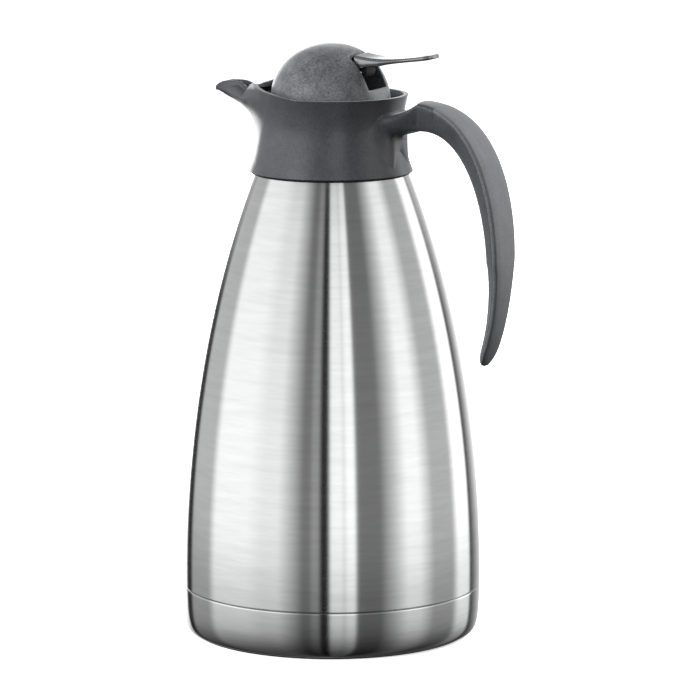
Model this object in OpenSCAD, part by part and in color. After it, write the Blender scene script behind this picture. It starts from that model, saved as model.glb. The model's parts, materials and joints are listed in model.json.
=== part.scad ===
// Thermal carafe: a double-walled steel bottle with a moulded pouring collar, an open
// hook handle, and a screw-in stopper whose thumb lever lifts a spring-loaded valve.
// Millimetres. The bottle's axis is Z and it stands on Z = 0. The handle points along
// +X and the spout along -X.

/* [Body] */
// Radius of the steel body at its widest
body_r = 75.8; // [74:0.1:78]
// Height of the groove between the body shell and the base cup
groove_z = 25.2; // [20:0.2:28]
// Radius of the body where it goes under the collar
shell_top_r = 39.25; // [38.5:0.05:39.5]
// Height where the body goes under the collar
shell_top_z = 235; // [234:0.5:236]
// Thickness of the steel sheet
sheet = 0.8; // [0.6:0.1:1]
// Radius of the bottle's neck, outside
neck_r = 32.5; // [32:0.1:32.5]
// Height of the top of the neck
neck_top_z = 256; // [255:0.5:256]

/* [Base] */
// Height of the steel base cup's lowest edge
cup_low_z = 1; // [0.8:0.1:1.6]
// Outer radius of the foot ring
foot_r = 71; // [69:0.5:71]
// Width of the foot ring
foot_w = 9.4; // [6:0.2:12]

/* [Collar and spout] */
// Height of the collar's rim
rim_z = 275; // [274:0.5:276]
// Radius of the collar's rim, outside
rim_r = 38.85; // [38.5:0.05:39.5]
// Radius of the collar's waist, outside
waist_r = 36.2; // [36:0.1:37]
// How much wider the collar gets from its waist down to its lower lip
flare = 5.2; // [4.8:0.1:5.6]
// Reach of the spout's tip from the bottle's axis
spout_reach = 63.5; // [60:0.5:66]
// How far the lips beside the spout rise above the rim
lip_rise = 4.9; // [4:0.1:6]
// Half the width of the beak between its lips, outside
beak_half = 2.2; // [2:0.1:4]
// Wall thickness of the collar
collar_wall = 2.2; // [2:0.1:2.4]

/* [Handle] */
// Furthest reach of the handle's back from the bottle's axis
handle_reach = 95.9; // [93:0.1:98]
// Height at which the handle reaches furthest
handle_reach_z = 194.8; // [190:0.2:200]
// Height of the handle's tip
handle_tip_z = 142.6; // [138:0.2:146]
// Thickness of the handle's outer cover
cover_t = 2.4; // [2:0.1:3]

/* [Stopper and dome] */
// Radius of the dome at its base
dome_r = 30.5; // [30.3:0.1:31]
// Height of the dome above its widest circle
dome_rise = 28; // [27:0.5:29]
// Height of the dome's widest circle
dome_z = 272.5; // [272:0.5:273]
// Wall thickness of the dome
dome_wall = 2; // [1.8:0.1:2.2]
// Half the width of the lever slot in the dome
slot_half = 9.6; // [9.5:0.1:10]
// Number of pouring windows round the stopper
windows = 6; // [5:1:7]

/* [Lever and valve] */
// Distance of the lever's pin from the bottle's axis
pin_x = 19; // [18.5:0.1:19.5]
// Height of the lever's pin
pin_z = 287; // [286.5:0.1:287.5]
// Radius of the lever's pin
pin_r = 1.2; // [1:0.05:1.3]
// Radius of the valve stem
stem_r = 2.5; // [2.2:0.1:2.5]
// Radius of the valve's seat opening
seat_r = 9; // [8:0.5:10]
// Curls of the valve spring
spring_curls = 7; // [5:1:8]
// Radius of the valve spring to the middle of its wire
spring_r = 6.3; // [6:0.1:7]
// Diameter of the spring wire
wire_d = 1.2; // [1:0.1:1.4]

/* [Hidden] */

steel = "#c9cacc";
dark_steel = "#9fa1a4";
plastic = "#55575b";
light_plastic = "#77797e";
lever_plastic = "#8b8d92";
dark_rubber = "#1c1c1e";
silicone = "#d9d6cf";
brass = "#b79a5a";

round_fn = 96;
fine_fn = 48;
gap = 0.05;

// ---- Curves ----

// Point at t of a cubic Bezier curve
function bez(p, t) = pow(1 - t, 3) * p[0] + 3 * t * pow(1 - t, 2) * p[1]
                   + 3 * t * t * (1 - t) * p[2] + pow(t, 3) * p[3];
function curve(p, n) = [for (i = [0 : n]) bez(p, i / n)];
// Point at t of a Bezier curve with any number of control values
function bez_of(list, t) = len(list) == 1 ? list[0]
    : bez_of([for (i = [0 : len(list) - 2]) list[i] + (list[i + 1] - list[i]) * t], t);
function tail(list) = [for (i = [1 : len(list) - 1]) list[i]];
function reversed(list) = [for (i = [len(list) - 1 : -1 : 0]) list[i]];
// Profile moved to the left of its direction of travel
function shifted(pts, d) = [for (i = [0 : len(pts) - 1])
    let (a = pts[max(i - 1, 0)], b = pts[min(i + 1, len(pts) - 1)], v = (b - a) / norm(b - a))
    pts[i] + d * [-v[1], v[0]]];

// A wall of even thickness turned about the bottle's axis
module turned_wall(path, thickness) {
    rotate_extrude($fn = round_fn) polygon(concat(path, reversed(shifted(path, thickness))));
}

module ring(r_in, r_out, z_low, z_high) {
    translate([0, 0, z_low]) difference() {
        cylinder(r = r_out, h = z_high - z_low, $fn = round_fn);
        translate([0, 0, -1]) cylinder(r = r_in, h = z_high - z_low + 2, $fn = round_fn);
    }
}

// ---- Lofts: rings of equal point count joined by triangles ----

function ring_faces(rows, n, closed) = [
    for (j = [0 : rows - (closed ? 1 : 2)], i = [0 : n - 1])
        let (a = j * n, b = ((j + 1) % rows) * n, k = (i + 1) % n)
        each [[a + i, a + k, b + k], [a + i, b + k, b + i]]];
function cap_faces(rows, n) = [[for (i = [n - 1 : -1 : 0]) i],
                               [for (i = [0 : n - 1]) (rows - 1) * n + i]];
function flat_list(rings) = [for (r = rings) each r];

module loft(rings) {
    n = len(rings[0]);
    polyhedron(flat_list(rings), concat(ring_faces(len(rings), n, false),
                                        cap_faces(len(rings), n)));
}

// ---- Bottle ----

shell_side = curve([[body_r, groove_z], [body_r, groove_z + 17], [body_r + 1.2, 140],
                    [shell_top_r, shell_top_z]], 30);
shell_shoulder = curve([[shell_top_r, shell_top_z], [shell_top_r - 2.25, shell_top_z + 5.5],
                        [neck_r, shell_top_z + 4], [neck_r, shell_top_z + 11]], 8);
shell_path = concat(shell_side, tail(shell_shoulder), [[neck_r, neck_top_z]]);

module outer_shell() {
    color(steel) turned_wall(shell_path, sheet);
}

// The base cup: a spigot inside the shell, a rounded heel and a recessed floor
cup_wall = 1;
spigot_top_z = groove_z + 8;
groove_h = 0.8;
spigot_r = body_r - sheet - gap;
seal_r = 3;
foot_seat_z = cup_low_z + 2.2;
cup_heel = curve([[body_r, groove_z - groove_h], [body_r - 0.2, 10], [body_r - 0.6, cup_low_z + 0.2],
                  [foot_r + 0.4, cup_low_z]], 8);
cup_path = concat([[spigot_r, spigot_top_z], [spigot_r, groove_z - groove_h]], cup_heel,
                  [[foot_r, cup_low_z], [foot_r, foot_seat_z], [foot_r - foot_w, foot_seat_z],
                   [foot_r - foot_w, cup_low_z + 0.6], [foot_r - foot_w - 1.5, cup_low_z + 0.6],
                   [foot_r - foot_w - 4, cup_low_z + 4], [14, cup_low_z + 4.6],
                   [9, cup_low_z + 7.2], [seal_r, cup_low_z + 7.2]]);
cup_inside = [[seal_r, cup_low_z + 7.2 + cup_wall], [9.6, cup_low_z + 7.2 + cup_wall],
              [14.6, cup_low_z + 4.6 + cup_wall], [foot_r - foot_w - 3.4, cup_low_z + 4 + cup_wall],
              [foot_r - foot_w - 1, foot_seat_z + cup_wall], [foot_r, foot_seat_z + cup_wall],
              [body_r - 2.8, cup_low_z + 5], [spigot_r - cup_wall, 14],
              [spigot_r - cup_wall, spigot_top_z]];

module base_cup() {
    color(steel) rotate_extrude($fn = round_fn) polygon(concat(cup_path, cup_inside));
}

// The inner bottle, which meets the shell's neck at its rolled lip
vessel_r = body_r - 7.5;
vessel_floor_z = 15.5;
vessel_neck_r = neck_r - sheet;
vessel_path = concat(
    [[0, vessel_floor_z + 3.5]],
    curve([[4, vessel_floor_z + 3.5], [30, vessel_floor_z + 3.5], [46, vessel_floor_z],
           [56, vessel_floor_z]], 5),
    tail(curve([[56, vessel_floor_z], [64, vessel_floor_z], [vessel_r, 20], [vessel_r, 32]], 6)),
    tail(curve([[vessel_r, 32], [vessel_r, 48], [vessel_r + 0.7, 138],
                [vessel_neck_r + 1.8, shell_top_z - 3]], 24)),
    tail(curve([[vessel_neck_r + 1.8, shell_top_z - 3], [vessel_neck_r + 0.5, shell_top_z + 0.5],
                [vessel_neck_r, shell_top_z + 3], [vessel_neck_r, shell_top_z + 8]], 5)),
    [[vessel_neck_r, neck_top_z]]);
lip_h = 1.2;
vessel_lip = [[neck_r, neck_top_z], [neck_r, neck_top_z + lip_h - 0.4],
              [neck_r - 0.4, neck_top_z + lip_h], [vessel_neck_r - sheet + 0.4, neck_top_z + lip_h],
              [vessel_neck_r - sheet, neck_top_z + lip_h - 0.4]];

module inner_vessel() {
    color(dark_steel) rotate_extrude($fn = round_fn)
        polygon(concat(vessel_path, vessel_lip, reversed(shifted(vessel_path, sheet))));
}

// The gas-binding tablet in its cup, fixed under the inner bottle's floor
module getter() {
    color(brass) translate([0, 0, vessel_floor_z + 0.4]) cylinder(r = 4, h = 3.1, $fn = fine_fn);
}

// The plug that closes the evacuation hole in the base
module evacuation_seal() {
    color(brass) rotate_extrude($fn = fine_fn)
        polygon([[0, cup_low_z + 6.4], [4.6, cup_low_z + 6.4], [5.2, cup_low_z + 6.8],
                 [5.2, cup_low_z + 7.2], [seal_r, cup_low_z + 7.2], [seal_r, cup_low_z + 8.4],
                 [0, cup_low_z + 8.4]]);
}

module foot_ring() {
    edge = 0.6;
    color(dark_rubber) rotate_extrude($fn = round_fn)
        polygon([[foot_r - foot_w, foot_seat_z], [foot_r - foot_w, edge],
                 [foot_r - foot_w + edge, 0], [foot_r - edge, 0], [foot_r, edge],
                 [foot_r, foot_seat_z]]);
}

// ---- Collar ----

// Outside radius of the collar's round part at a height
function collar_r(z) = waist_r
    + (z < 258 ? flare * pow((258 - z) / 22, 1.6) : 0)
    + (z > rim_z - 9 ? (rim_r - waist_r) * pow((z - rim_z + 9) / 9, 1.3) : 0);

// Each level of the collar is [radius at the back, height at the back, reach at the spout,
// height at the spout, share of the lip's rise, share of the pinch, half width when pinched]
spout_line = [[collar_r(240), 240], [42.5, 252], [41.5, 265],
                    [spout_reach, rim_z + 0.3]];
// The beak's flanks close over it near its top, like a hood
hood_start = 0.7;
function hood(s) = let (t = max(0, (s - hood_start) / (1 - hood_start))) 1 - sqrt(1 - t * t);
outer_steps = 16;
outer_levels = [for (i = [0 : outer_steps])
    let (s = 1 - pow(1 - i / outer_steps, 1.5), z = 240 + (rim_z - 0.4 - 240) * s,
         p = bez(spout_line, s))
    [collar_r(z), z, p[0], p[1], pow(s, 5), hood(s), beak_half]];
function plain_level(r, z) = [r, z, r, z, 0, 0, beak_half];
collar_bore = neck_r + 0.2;
bowl_r = waist_r - 1.6;
seat_z = 248.8;
channel_line = [[spout_reach - collar_wall, rim_z + 0.7], [48, 270.5], [38, 269], [bowl_r, 259]];
function channel_hood(s) = let (t = min(1, max(0, (s - 0.5) / 0.42))) 1 - sqrt(1 - t * t);
channel_steps = 12;
channel_levels = [for (i = [0 : channel_steps])
    let (s = 1 - pow(i / channel_steps, 1.5), z = rim_z - 16 * (1 - s), p = bez(channel_line, 1 - s))
    [bowl_r + (rim_r - collar_wall - bowl_r) * pow(s, 2), z, p[0], p[1], pow(s, 4),
     channel_hood(s), beak_half - 1.1]];
collar_levels = concat(
    [plain_level(shell_top_r + 0.75, shell_top_z), plain_level(collar_r(235) - 0.5, shell_top_z),
     plain_level(collar_r(235), shell_top_z + 0.5), plain_level(collar_r(236.6), 236.6),
     plain_level(collar_r(238.3), 238.3)],
    outer_levels,
    [[rim_r - 0.4, rim_z, spout_reach - 0.5, rim_z + 0.7, 1, 1, beak_half - 0.2]],
    channel_levels,
    [plain_level(bowl_r, seat_z), plain_level(collar_bore, seat_z), plain_level(collar_bore, 246.5),
     plain_level(collar_bore + 0.7, 245), plain_level(35.2, 242.8), plain_level(38.4, 239),
     plain_level(shell_top_r + 0.65, shell_top_z + 0.6)]);

// A round outline drawn out to a beak: straight flanks, tangent to the circle, meet at a
// rounded tip. The angle is measured from the spout.
tip_round = 5;
function wide_r(r, reach, angle) = reach < r + 0.001 ? r :
    let (flank = acos(r / reach))
    r / cos(max(0, flank + tip_round - sqrt(angle * angle + tip_round * tip_round)));
// Pinched, it is a shallow beak that leads in a hollow curve to a narrow one
narrow_edge = 3.2;
hollow = 8;
shallow_share = 0.19;
function pinched_r(r, reach, angle, half) =
    let (side = sin(min(abs(angle), 90)) / half,
         narrow = pow(pow(side, narrow_edge) + pow(1 / reach, narrow_edge), -1 / narrow_edge),
         shallow = wide_r(r, r + shallow_share * (reach - r), angle))
    min(reach, pow(pow(shallow, hollow) + pow(narrow, hollow), 1 / hollow));
function beak_r(r, reach, angle, pinch, half) = pinch == 0 || reach < r + 0.001
    ? wide_r(r, reach, angle)
    : wide_r(r, reach, angle) * (1 - pinch) + pinched_r(r, reach, angle, half) * pinch;
lip_span = 86;
function lip_shape(angle) = let (a = abs(angle)) a >= lip_span ? 0
    : lip_rise * pow(1 - pow(a / lip_span, 2.2), 0.8) * (1 - exp(-pow(a / 4.5, 1.5)));
// The beak's own lips arch up half way along it
beak_arch = 1.95;
function arch_shape(r) = beak_arch * exp(-pow((r - spout_reach + 10) / 6.5, 2));
// How much of the spout's own height an angle takes
function spout_share(angle) = abs(angle) >= 55 ? 0 : pow(cos(angle * 90 / 55), 2);
function collar_point(level, angle) =
    let (r = beak_r(level[0], level[2], angle, level[5], level[6]),
         z = level[1] + (level[3] - level[1]) * spout_share(angle)
             + level[4] * (lip_shape(angle) + arch_shape(r)))
    [-r * cos(angle), -r * sin(angle), z];
collar_sides = 72;
// Angles lie closest together at the spout's tip
function collar_angle(i) = let (u = 2 * i / collar_sides - 1) 180 * u - 52 * sin(180 * u);

module spout_collar() {
    rings = [for (level = collar_levels)
        [for (i = [0 : collar_sides - 1]) collar_point(level, collar_angle(i))]];
    color(plastic) polyhedron(flat_list(rings),
                              ring_faces(len(rings), collar_sides, true));
}

module collar_gasket() {
    color(dark_rubber) rotate_extrude($fn = round_fn)
        polygon([[shell_top_r + 0.72, shell_top_z - 1], [shell_top_r + 1.5, shell_top_z - 1],
                 [shell_top_r + 1.7, shell_top_z - gap], [shell_top_r + 0.3, shell_top_z - gap]]);
}

module neck_clamp_ring() {
    color(light_plastic) ring(neck_r + gap, bowl_r - 0.2, seat_z + gap, neck_top_z);
}

module bowl_seal() {
    color(silicone) ring(neck_r + gap, bowl_r - 0.15, neck_top_z + gap, neck_top_z + 1.4);
}

// ---- Handle ----

// The middle line of the handle's back, from its crest behind the collar to the tip
crest = [51, 273];
arch = [crest, crest + [35, -2.7], [handle_reach, handle_reach_z + 32.5],
        [handle_reach, handle_reach_z]];
drop = [[handle_reach, handle_reach_z], [handle_reach, handle_reach_z - 4.5],
        [handle_reach - 0.6, handle_tip_z + 17.8], [handle_reach - 10.3, handle_tip_z]];
function back_line(u) = u < 0.5 ? bez(arch, 2 * u) : bez(drop, 2 * u - 1);
function back_dir(u) = let (e = 0.004, d = back_line(min(u + e, 1)) - back_line(max(u - e, 0)))
    d / norm(d);
// Half width and depth along the handle; the tip is rounded in plan
tip_start = 0.93;
function tip_shape(u) = u <= tip_start ? 1 : sqrt(1 - pow((u - tip_start) / (1.004 - tip_start), 2));
function half_w(u) = bez_of([8.8, 17.1, 14.4, 8.5, 9.1], u) * (0.25 + 0.75 * tip_shape(u));
function depth(u) = bez_of([14.6, 9.2, 8, 6.5, 4.2], u) * (0.55 + 0.45 * tip_shape(u));
function cover_depth(u) = min(cover_t, 0.4 * depth(u));

// A point of the handle: y across, n inwards from the back line
function handle_point(u, y, n) = let (p = back_line(u), d = back_dir(u))
    [p[0] + n * d[1], y, p[1] - n * d[0]];
// A whole section from its half, starting at the middle of the inner side
function mirrored(half) = let (last = len(half) - 1)
    concat([half[last]], [for (i = [last - 1 : -1 : 1]) [-half[i][0], half[i][1]]],
           [for (i = [0 : last - 1]) half[i]]);
// Half sections, from the middle of the back round to the middle of the inner side
function edge_w(w) = min(1, 0.25 * w);
function edge_d(d) = min(1.1, 0.2 * d);
function full_half(u) = let (w = half_w(u), d = depth(u), c = cover_depth(u))
    [[0, -0.5], [0.55 * w, -0.35], [w - edge_w(w), 0.1], [w, 0.9], [w, c], [0.84 * w, 0.55 * d],
     [0.68 * w, d - edge_d(d)], [0.5 * w, d], [0, d]];
function grip_half(u) = let (w = half_w(u), d = depth(u), c = cover_depth(u), e = edge_w(w))
    [[0, c], [0.55 * w, c], [w - e, c], [w - 0.5 * e, c], [w - 0.3 * e, c + 0.1 * e],
     [0.84 * w, 0.55 * d + 0.1], [0.68 * w, d - edge_d(d)], [0.5 * w, d], [0, d]];
function cover_half(u) = let (w = half_w(u), c = cover_depth(u))
    [[0, -0.5], [0.55 * w, -0.35], [w - edge_w(w), 0.1], [w, 0.35 * c], [w, c]];
function cover_outline(u) = let (half = cover_half(u))
    concat([for (i = [len(half) - 1 : -1 : 1]) [-half[i][0], half[i][1]]], half);
function placed(u, outline) = [for (p = outline) handle_point(u, p[0], p[1])];
function section_at(u, half) = placed(u, mirrored(half));

// The root spreads over the collar's back: half width and height of each section point on
// the collar's surface
root_half = [[0, 267.5], [8, 267.3], [13, 266.3], [15.5, 264.5], [16.5, 262], [16, 252],
             [12.5, 243.5], [8.5, 239.5], [0, 248.5]];
root_x = 26;
// The cover begins just past the shoulder where the grip drops to carry it
shoulder_u = 0.052;
cover_u = shoulder_u + 0.002;
root_cap = [for (p = mirrored(root_half)) [root_x, p[0], p[1]]];
root_steps = 7;
root_end = section_at(0, full_half(0));
// From the root the section gathers at its sides and quickly underneath, hugging the
// collar, while its top stays low behind the collar and then rises to the crest
function back_x(y, z) = sqrt(pow(collar_r(z), 2) - y * y);
function gather(s) = 1 - pow(1 - s, 1.8);
function gather_low(s) = 1 - pow(1 - s, 8);
function root_low(z) = (root_half[0][1] - z) / (root_half[0][1] - root_half[7][1]);
root_rings = [for (i = [0 : root_steps]) let (s = pow(i / root_steps, 1.3))
    [for (k = [0 : len(root_cap) - 1])
        let (a = root_cap[k], b = root_end[k], t = root_low(a[2]),
             y = a[1] + (b[1] - a[1]) * gather(s),
             z = a[2] + (b[2] - a[2]) * ((1 - t) * pow(s, 2) + t * gather_low(s)))
        [back_x(y, z) + 0.3 * (1 - s) + (b[0] - back_x(b[1], b[2])) * s, y, z]]];
crest_rings = [for (i = [1 : 3]) let (u = (shoulder_u - 0.002) * i / 3) section_at(u, full_half(u))];
handle_steps = 34;
function handle_stations(start) = [for (i = [0 : handle_steps])
    let (s = i / handle_steps) start + (1 - start) * (1 - pow(1 - s, 1.25))];

module handle_grip() {
    color(plastic) difference() {
        loft(concat([root_cap], root_rings, crest_rings,
                    [for (u = handle_stations(shoulder_u)) section_at(u, grip_half(u))]));
        rotate_extrude($fn = round_fn)
            polygon(concat([[0, 230]], [for (z = [230 : 3 : 275]) [collar_r(z) + 0.1, z]], [[0, 275]]));
    }
}

module handle_cover() {
    color(light_plastic) loft([for (u = handle_stations(cover_u)) placed(u, cover_outline(u))]);
}

// ---- Stopper ----

stop_low_z = 240;
stop_r = neck_r - 2 * sheet - 0.5;
cavity_r = 26.5;
cavity_top_r = 27;
gasket_r = 28.4;
gasket_low_z = 243;
gasket_h = 3.4;
flange_z = neck_top_z + 2;
flange_top_z = flange_z + 5.5;
flange_r = bowl_r - 0.5;
deck_z = 271;
floor_t = 2;
window_low_z = flange_top_z + 0.8;
window_h = 5;
window_w = 20;

module stopper_body() {
    color(plastic) difference() {
        rotate_extrude($fn = round_fn)
            polygon([[seat_r, stop_low_z], [stop_r - 1, stop_low_z], [stop_r, stop_low_z + 1],
                     [stop_r, gasket_low_z], [gasket_r, gasket_low_z],
                     [gasket_r, gasket_low_z + gasket_h], [stop_r, gasket_low_z + gasket_h],
                     [stop_r, flange_z], [flange_r, flange_z], [flange_r, flange_top_z],
                     [dome_r, flange_top_z + 0.6], [dome_r, deck_z], [cavity_top_r, deck_z],
                     [cavity_top_r, flange_z], [cavity_r, flange_z - 1],
                     [cavity_r, stop_low_z + floor_t], [seat_r, stop_low_z + floor_t]]);
        for (i = [0 : windows - 1]) rotate([0, 0, 180 + i * 360 / windows])
            translate([cavity_r - 4, -window_w / 2, window_low_z])
                cube([dome_r - cavity_r + 8, window_w, window_h]);
    }
}

// The sealing ring, which rides in a groove and rises with the stopper without turning
module stopper_gasket() {
    z_low = gasket_low_z + 0.1;
    z_high = gasket_low_z + gasket_h - 0.1;
    r_out = vessel_neck_r - sheet - 0.15;
    color(silicone) rotate_extrude($fn = round_fn)
        polygon([[gasket_r + 0.1, z_low], [r_out - 0.5, z_low], [r_out, z_low + 0.7],
                 [r_out - 0.5, z_low + 1.6], [r_out, z_high - 0.7], [r_out - 0.5, z_high],
                 [gasket_r + 0.1, z_high]]);
}

cap_r = dome_r - dome_wall - 0.2;
cap_t = 2.2;
guide_top_z = 277;
guide_r = 4.6;
stem_seal_r = 4;
screw_ring_r = 21.5;
screw_r = 1.4;
screw_angles = [60, 180, 300];

// The deck that closes the stopper's chamber and guides the valve stem, cut off under the flat
module stopper_cap() {
    color(light_plastic) difference() {
        union() {
            translate([0, 0, deck_z]) cylinder(r = cap_r, h = cap_t, $fn = round_fn);
            translate([0, 0, deck_z]) cylinder(r = guide_r, h = guide_top_z - deck_z, $fn = fine_fn);
        }
        translate([0, 0, deck_z - 1]) cylinder(r = stem_r + gap, h = 10, $fn = fine_fn);
        translate([0, 0, deck_z - 1]) cylinder(r = stem_seal_r - 0.6, h = 3, $fn = fine_fn);
        for (a = screw_angles) rotate([0, 0, a]) translate([screw_ring_r, 0, deck_z - 1])
            cylinder(r = screw_r + gap, h = cap_t + 2, $fn = fine_fn);
        beyond_flat(dome_wall + 0.2);
    }
}

module stem_seal() {
    color(dark_rubber) ring(stem_r + gap, stem_seal_r - 0.6, deck_z + gap, deck_z + 2 - gap);
}

module lid_screws() {
    head_h = 1.6;
    color(steel) for (a = screw_angles) rotate([0, 0, a]) translate([screw_ring_r, 0, 0]) {
        difference() {
            translate([0, 0, deck_z - head_h]) cylinder(r = 2.6, h = head_h, $fn = fine_fn);
            translate([0, 0, deck_z - head_h - 0.2]) cylinder(r = 1.3, h = 1.1, $fn = 6);
        }
        translate([0, 0, deck_z]) cylinder(r = screw_r, h = 10, $fn = fine_fn);
    }
}

// ---- Dome ----

// The flat on the dome's back, given by its distance from the axis at the dome's foot
flat_foot_x = 29.16;
flat_tilt = 25.9;
dome_steps = 20;
function dome_arc(r, rise) = [for (i = [0 : dome_steps])
    [r * cos(90 * i / dome_steps), dome_z + rise * sin(90 * i / dome_steps)]];

// All that lies beyond the flat, moved inwards by an inset
module beyond_flat(inset) {
    translate([flat_foot_x - inset, 0, dome_z]) rotate([0, -flat_tilt, 0])
        translate([0, -40, -20]) cube([40, 80, 60]);
}

module dome_solid(inset) {
    difference() {
        rotate_extrude($fn = round_fn)
            polygon(concat([[0, deck_z], [dome_r - inset, deck_z]],
                           dome_arc(dome_r - inset, dome_rise - inset)));
        beyond_flat(inset);
    }
}

boss_r = 3.2;
boss_top_z = 288;
ear_t = 2.4;

module dome_cover() {
    color(plastic) difference() {
        union() {
            difference() {
                dome_solid(0);
                dome_solid(dome_wall);
                translate([0, 0, deck_z - 1])
                    cylinder(r = dome_r - dome_wall, h = 1.5, $fn = round_fn);
            }
            for (a = screw_angles) rotate([0, 0, a])
                translate([screw_ring_r, 0, deck_z + cap_t + gap])
                    cylinder(r = boss_r, h = boss_top_z - deck_z - cap_t, $fn = fine_fn);
            intersection() {
                dome_solid(0.4);
                for (side = [-1, 1]) translate([13, side * (slot_half + ear_t / 2) - ear_t / 2, 276])
                    cube([20, ear_t, 24]);
            }
        }
        // the lever slot, from the top of the flat down to its sill
        translate([14.5, -slot_half, 278.4]) cube([20, 2 * slot_half, 30]);
        translate([pin_x, 0, pin_z]) rotate([90, 0, 0])
            cylinder(r = pin_r, h = 60, center = true, $fn = fine_fn);
        for (a = screw_angles) rotate([0, 0, a]) translate([screw_ring_r, 0, deck_z])
            cylinder(r = screw_r + gap, h = 11, $fn = fine_fn);
    }
}

module lever_pin() {
    color(steel) translate([pin_x, 0, pin_z]) rotate([90, 0, 0])
        cylinder(r = pin_r, h = 31, center = true, $fn = fine_fn);
}

// ---- Lever ----

lever_half = 9.2;
lever_end_x = 58;
web_half = 5.5;
head_z = 284.2;
pad_r = 3;

// Side view of the thumb plate, swept up at its end
thumb_top = curve([[16.7, 295.8], [27, 293.3], [40, 293.9], [lever_end_x - 2.5, 296.9]], 12);
thumb_under = curve([[lever_end_x - 0.5, 294.8], [48, 293], [36, 292.4], [29.5, 290.4]], 8);
thumb_side = concat(thumb_top, [[lever_end_x - 0.8, 296.5], [lever_end_x, 295.6]], thumb_under,
                    [[21, 289.4]]);
// Plan view of one edge of the thumb plate
thumb_edge = curve([[27, lever_half], [38, lever_half - 0.5], [40, 5.6], [53, 7.6]], 8);
thumb_plan = concat([[10, lever_half]], thumb_edge,
                    [for (a = [70 : -20 : -70])
                        [lever_end_x - 5.4 * (1 - cos(a)), 7.8 * sin(a)]],
                    [for (p = reversed(thumb_edge)) [p[0], -p[1]]], [[10, -lever_half]]);

module side_plate(outline, half) {
    translate([0, half, 0]) rotate([90, 0, 0]) linear_extrude(height = 2 * half) polygon(outline);
}

module lever() {
    color(lever_plastic) difference() {
        union() {
            intersection() {
                side_plate(thumb_side, lever_half + 1);
                translate([0, 0, 280]) linear_extrude(height = 30) polygon(thumb_plan);
            }
            side_plate([[18.2, 295], [22, 292], [22, 288], [19, pin_z - 3.2], [15, 284.6],
                        [6, 280.4], [-1.5, 280], [-1.5, 282.6], [5.4, 283.4], [10, 288], [16, 290]],
                       web_half);
            translate([pin_x, 0, pin_z]) rotate([90, 0, 0])
                cylinder(r = 3.2, h = 2 * web_half, center = true, $fn = fine_fn);
            translate([0, 0, head_z - 0.2 - pad_r]) rotate([90, 0, 0])
                cylinder(r = pad_r, h = 2 * web_half, center = true, $fn = fine_fn);
        }
        translate([-10, -stem_r - 0.5, 270]) cube([14.5, 2 * stem_r + 1, 16]);
        translate([pin_x, 0, pin_z]) rotate([90, 0, 0])
            cylinder(r = pin_r + gap, h = 40, center = true, $fn = fine_fn);
    }
}

// ---- Valve ----

disc_low_z = stop_low_z + floor_t + 1;
disc_h = 2.2;
disc_r = 12.5;

module valve_stem() {
    color(steel) translate([0, 0, disc_low_z]) cylinder(r = stem_r, h = 288 - disc_low_z, $fn = fine_fn);
}

module valve_disc() {
    color(light_plastic) difference() {
        union() {
            translate([0, 0, disc_low_z]) cylinder(r = disc_r, h = disc_h, $fn = round_fn);
            translate([0, 0, disc_low_z]) cylinder(r = 4.6, h = 5.4, $fn = fine_fn);
        }
        translate([0, 0, disc_low_z - 1]) cylinder(r = stem_r, h = 10, $fn = fine_fn);
    }
}

module valve_gasket() {
    color(silicone) ring(7.4, disc_r - 0.2, disc_low_z - 0.9, disc_low_z);
}

module stem_cap() {
    color(light_plastic) difference() {
        union() {
            translate([0, 0, head_z]) cylinder(r = 5.5, h = 2, $fn = fine_fn);
            translate([0, 0, head_z]) cylinder(r = 4, h = 3.4, $fn = fine_fn);
        }
        translate([0, 0, head_z - 1]) cylinder(r = stem_r, h = 10, $fn = fine_fn);
    }
}

// The spring is one helical tube of six-sided section, eight rings to a curl
spring_low_z = disc_low_z + disc_h + wire_d / 2 + 0.1;
spring_high_z = deck_z - wire_d / 2 - 0.1;
rings_per_curl = 8;
spring_rings = spring_curls * rings_per_curl;
spring_rise = (spring_high_z - spring_low_z) / spring_rings;
function spring_centre(i) = let (a = i * 360 / rings_per_curl)
    [spring_r * cos(a), spring_r * sin(a), spring_low_z + spring_rise * i];
function spring_ring(i) = let (a = i * 360 / rings_per_curl, c = spring_centre(i))
    [for (k = [0 : 5]) c + wire_d / 2 * (cos(60 * k) * [cos(a), sin(a), 0] + sin(60 * k) * [0, 0, 1])];

module valve_spring() {
    color(steel) loft([for (i = [spring_rings : -1 : 0]) spring_ring(i)]);
}

spring_gap = min([for (i = [0 : spring_rings], j = [i + rings_per_curl / 2 : 1 : spring_rings])
    norm(spring_centre(i) - spring_centre(j)) - wire_d]);
echo(least_gap_of_spring_to_itself = spring_gap);

outer_shell();
base_cup();
inner_vessel();
getter();
evacuation_seal();
foot_ring();
spout_collar();
collar_gasket();
neck_clamp_ring();
bowl_seal();
handle_grip();
handle_cover();
stopper_body();
stopper_cap();
stem_seal();
dome_cover();
lid_screws();
lever_pin();
stopper_gasket();
lever();
valve_stem();
valve_disc();
valve_gasket();
stem_cap();
valve_spring();
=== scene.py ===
"""Looks of a thermal carafe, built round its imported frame.

A double-walled steel bottle carries a moulded pouring collar with an open hook handle, and a
screw-in stopper whose thumb lever lifts a sprung valve. Sizes in the classes are millimetres,
and become metres in the meshes. The bottle's axis is Z, the handle points along +X and the
spout along -X.
"""

import json
import logging
import math
from dataclasses import dataclass
from enum import Enum
from typing import Callable, Sequence

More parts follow.
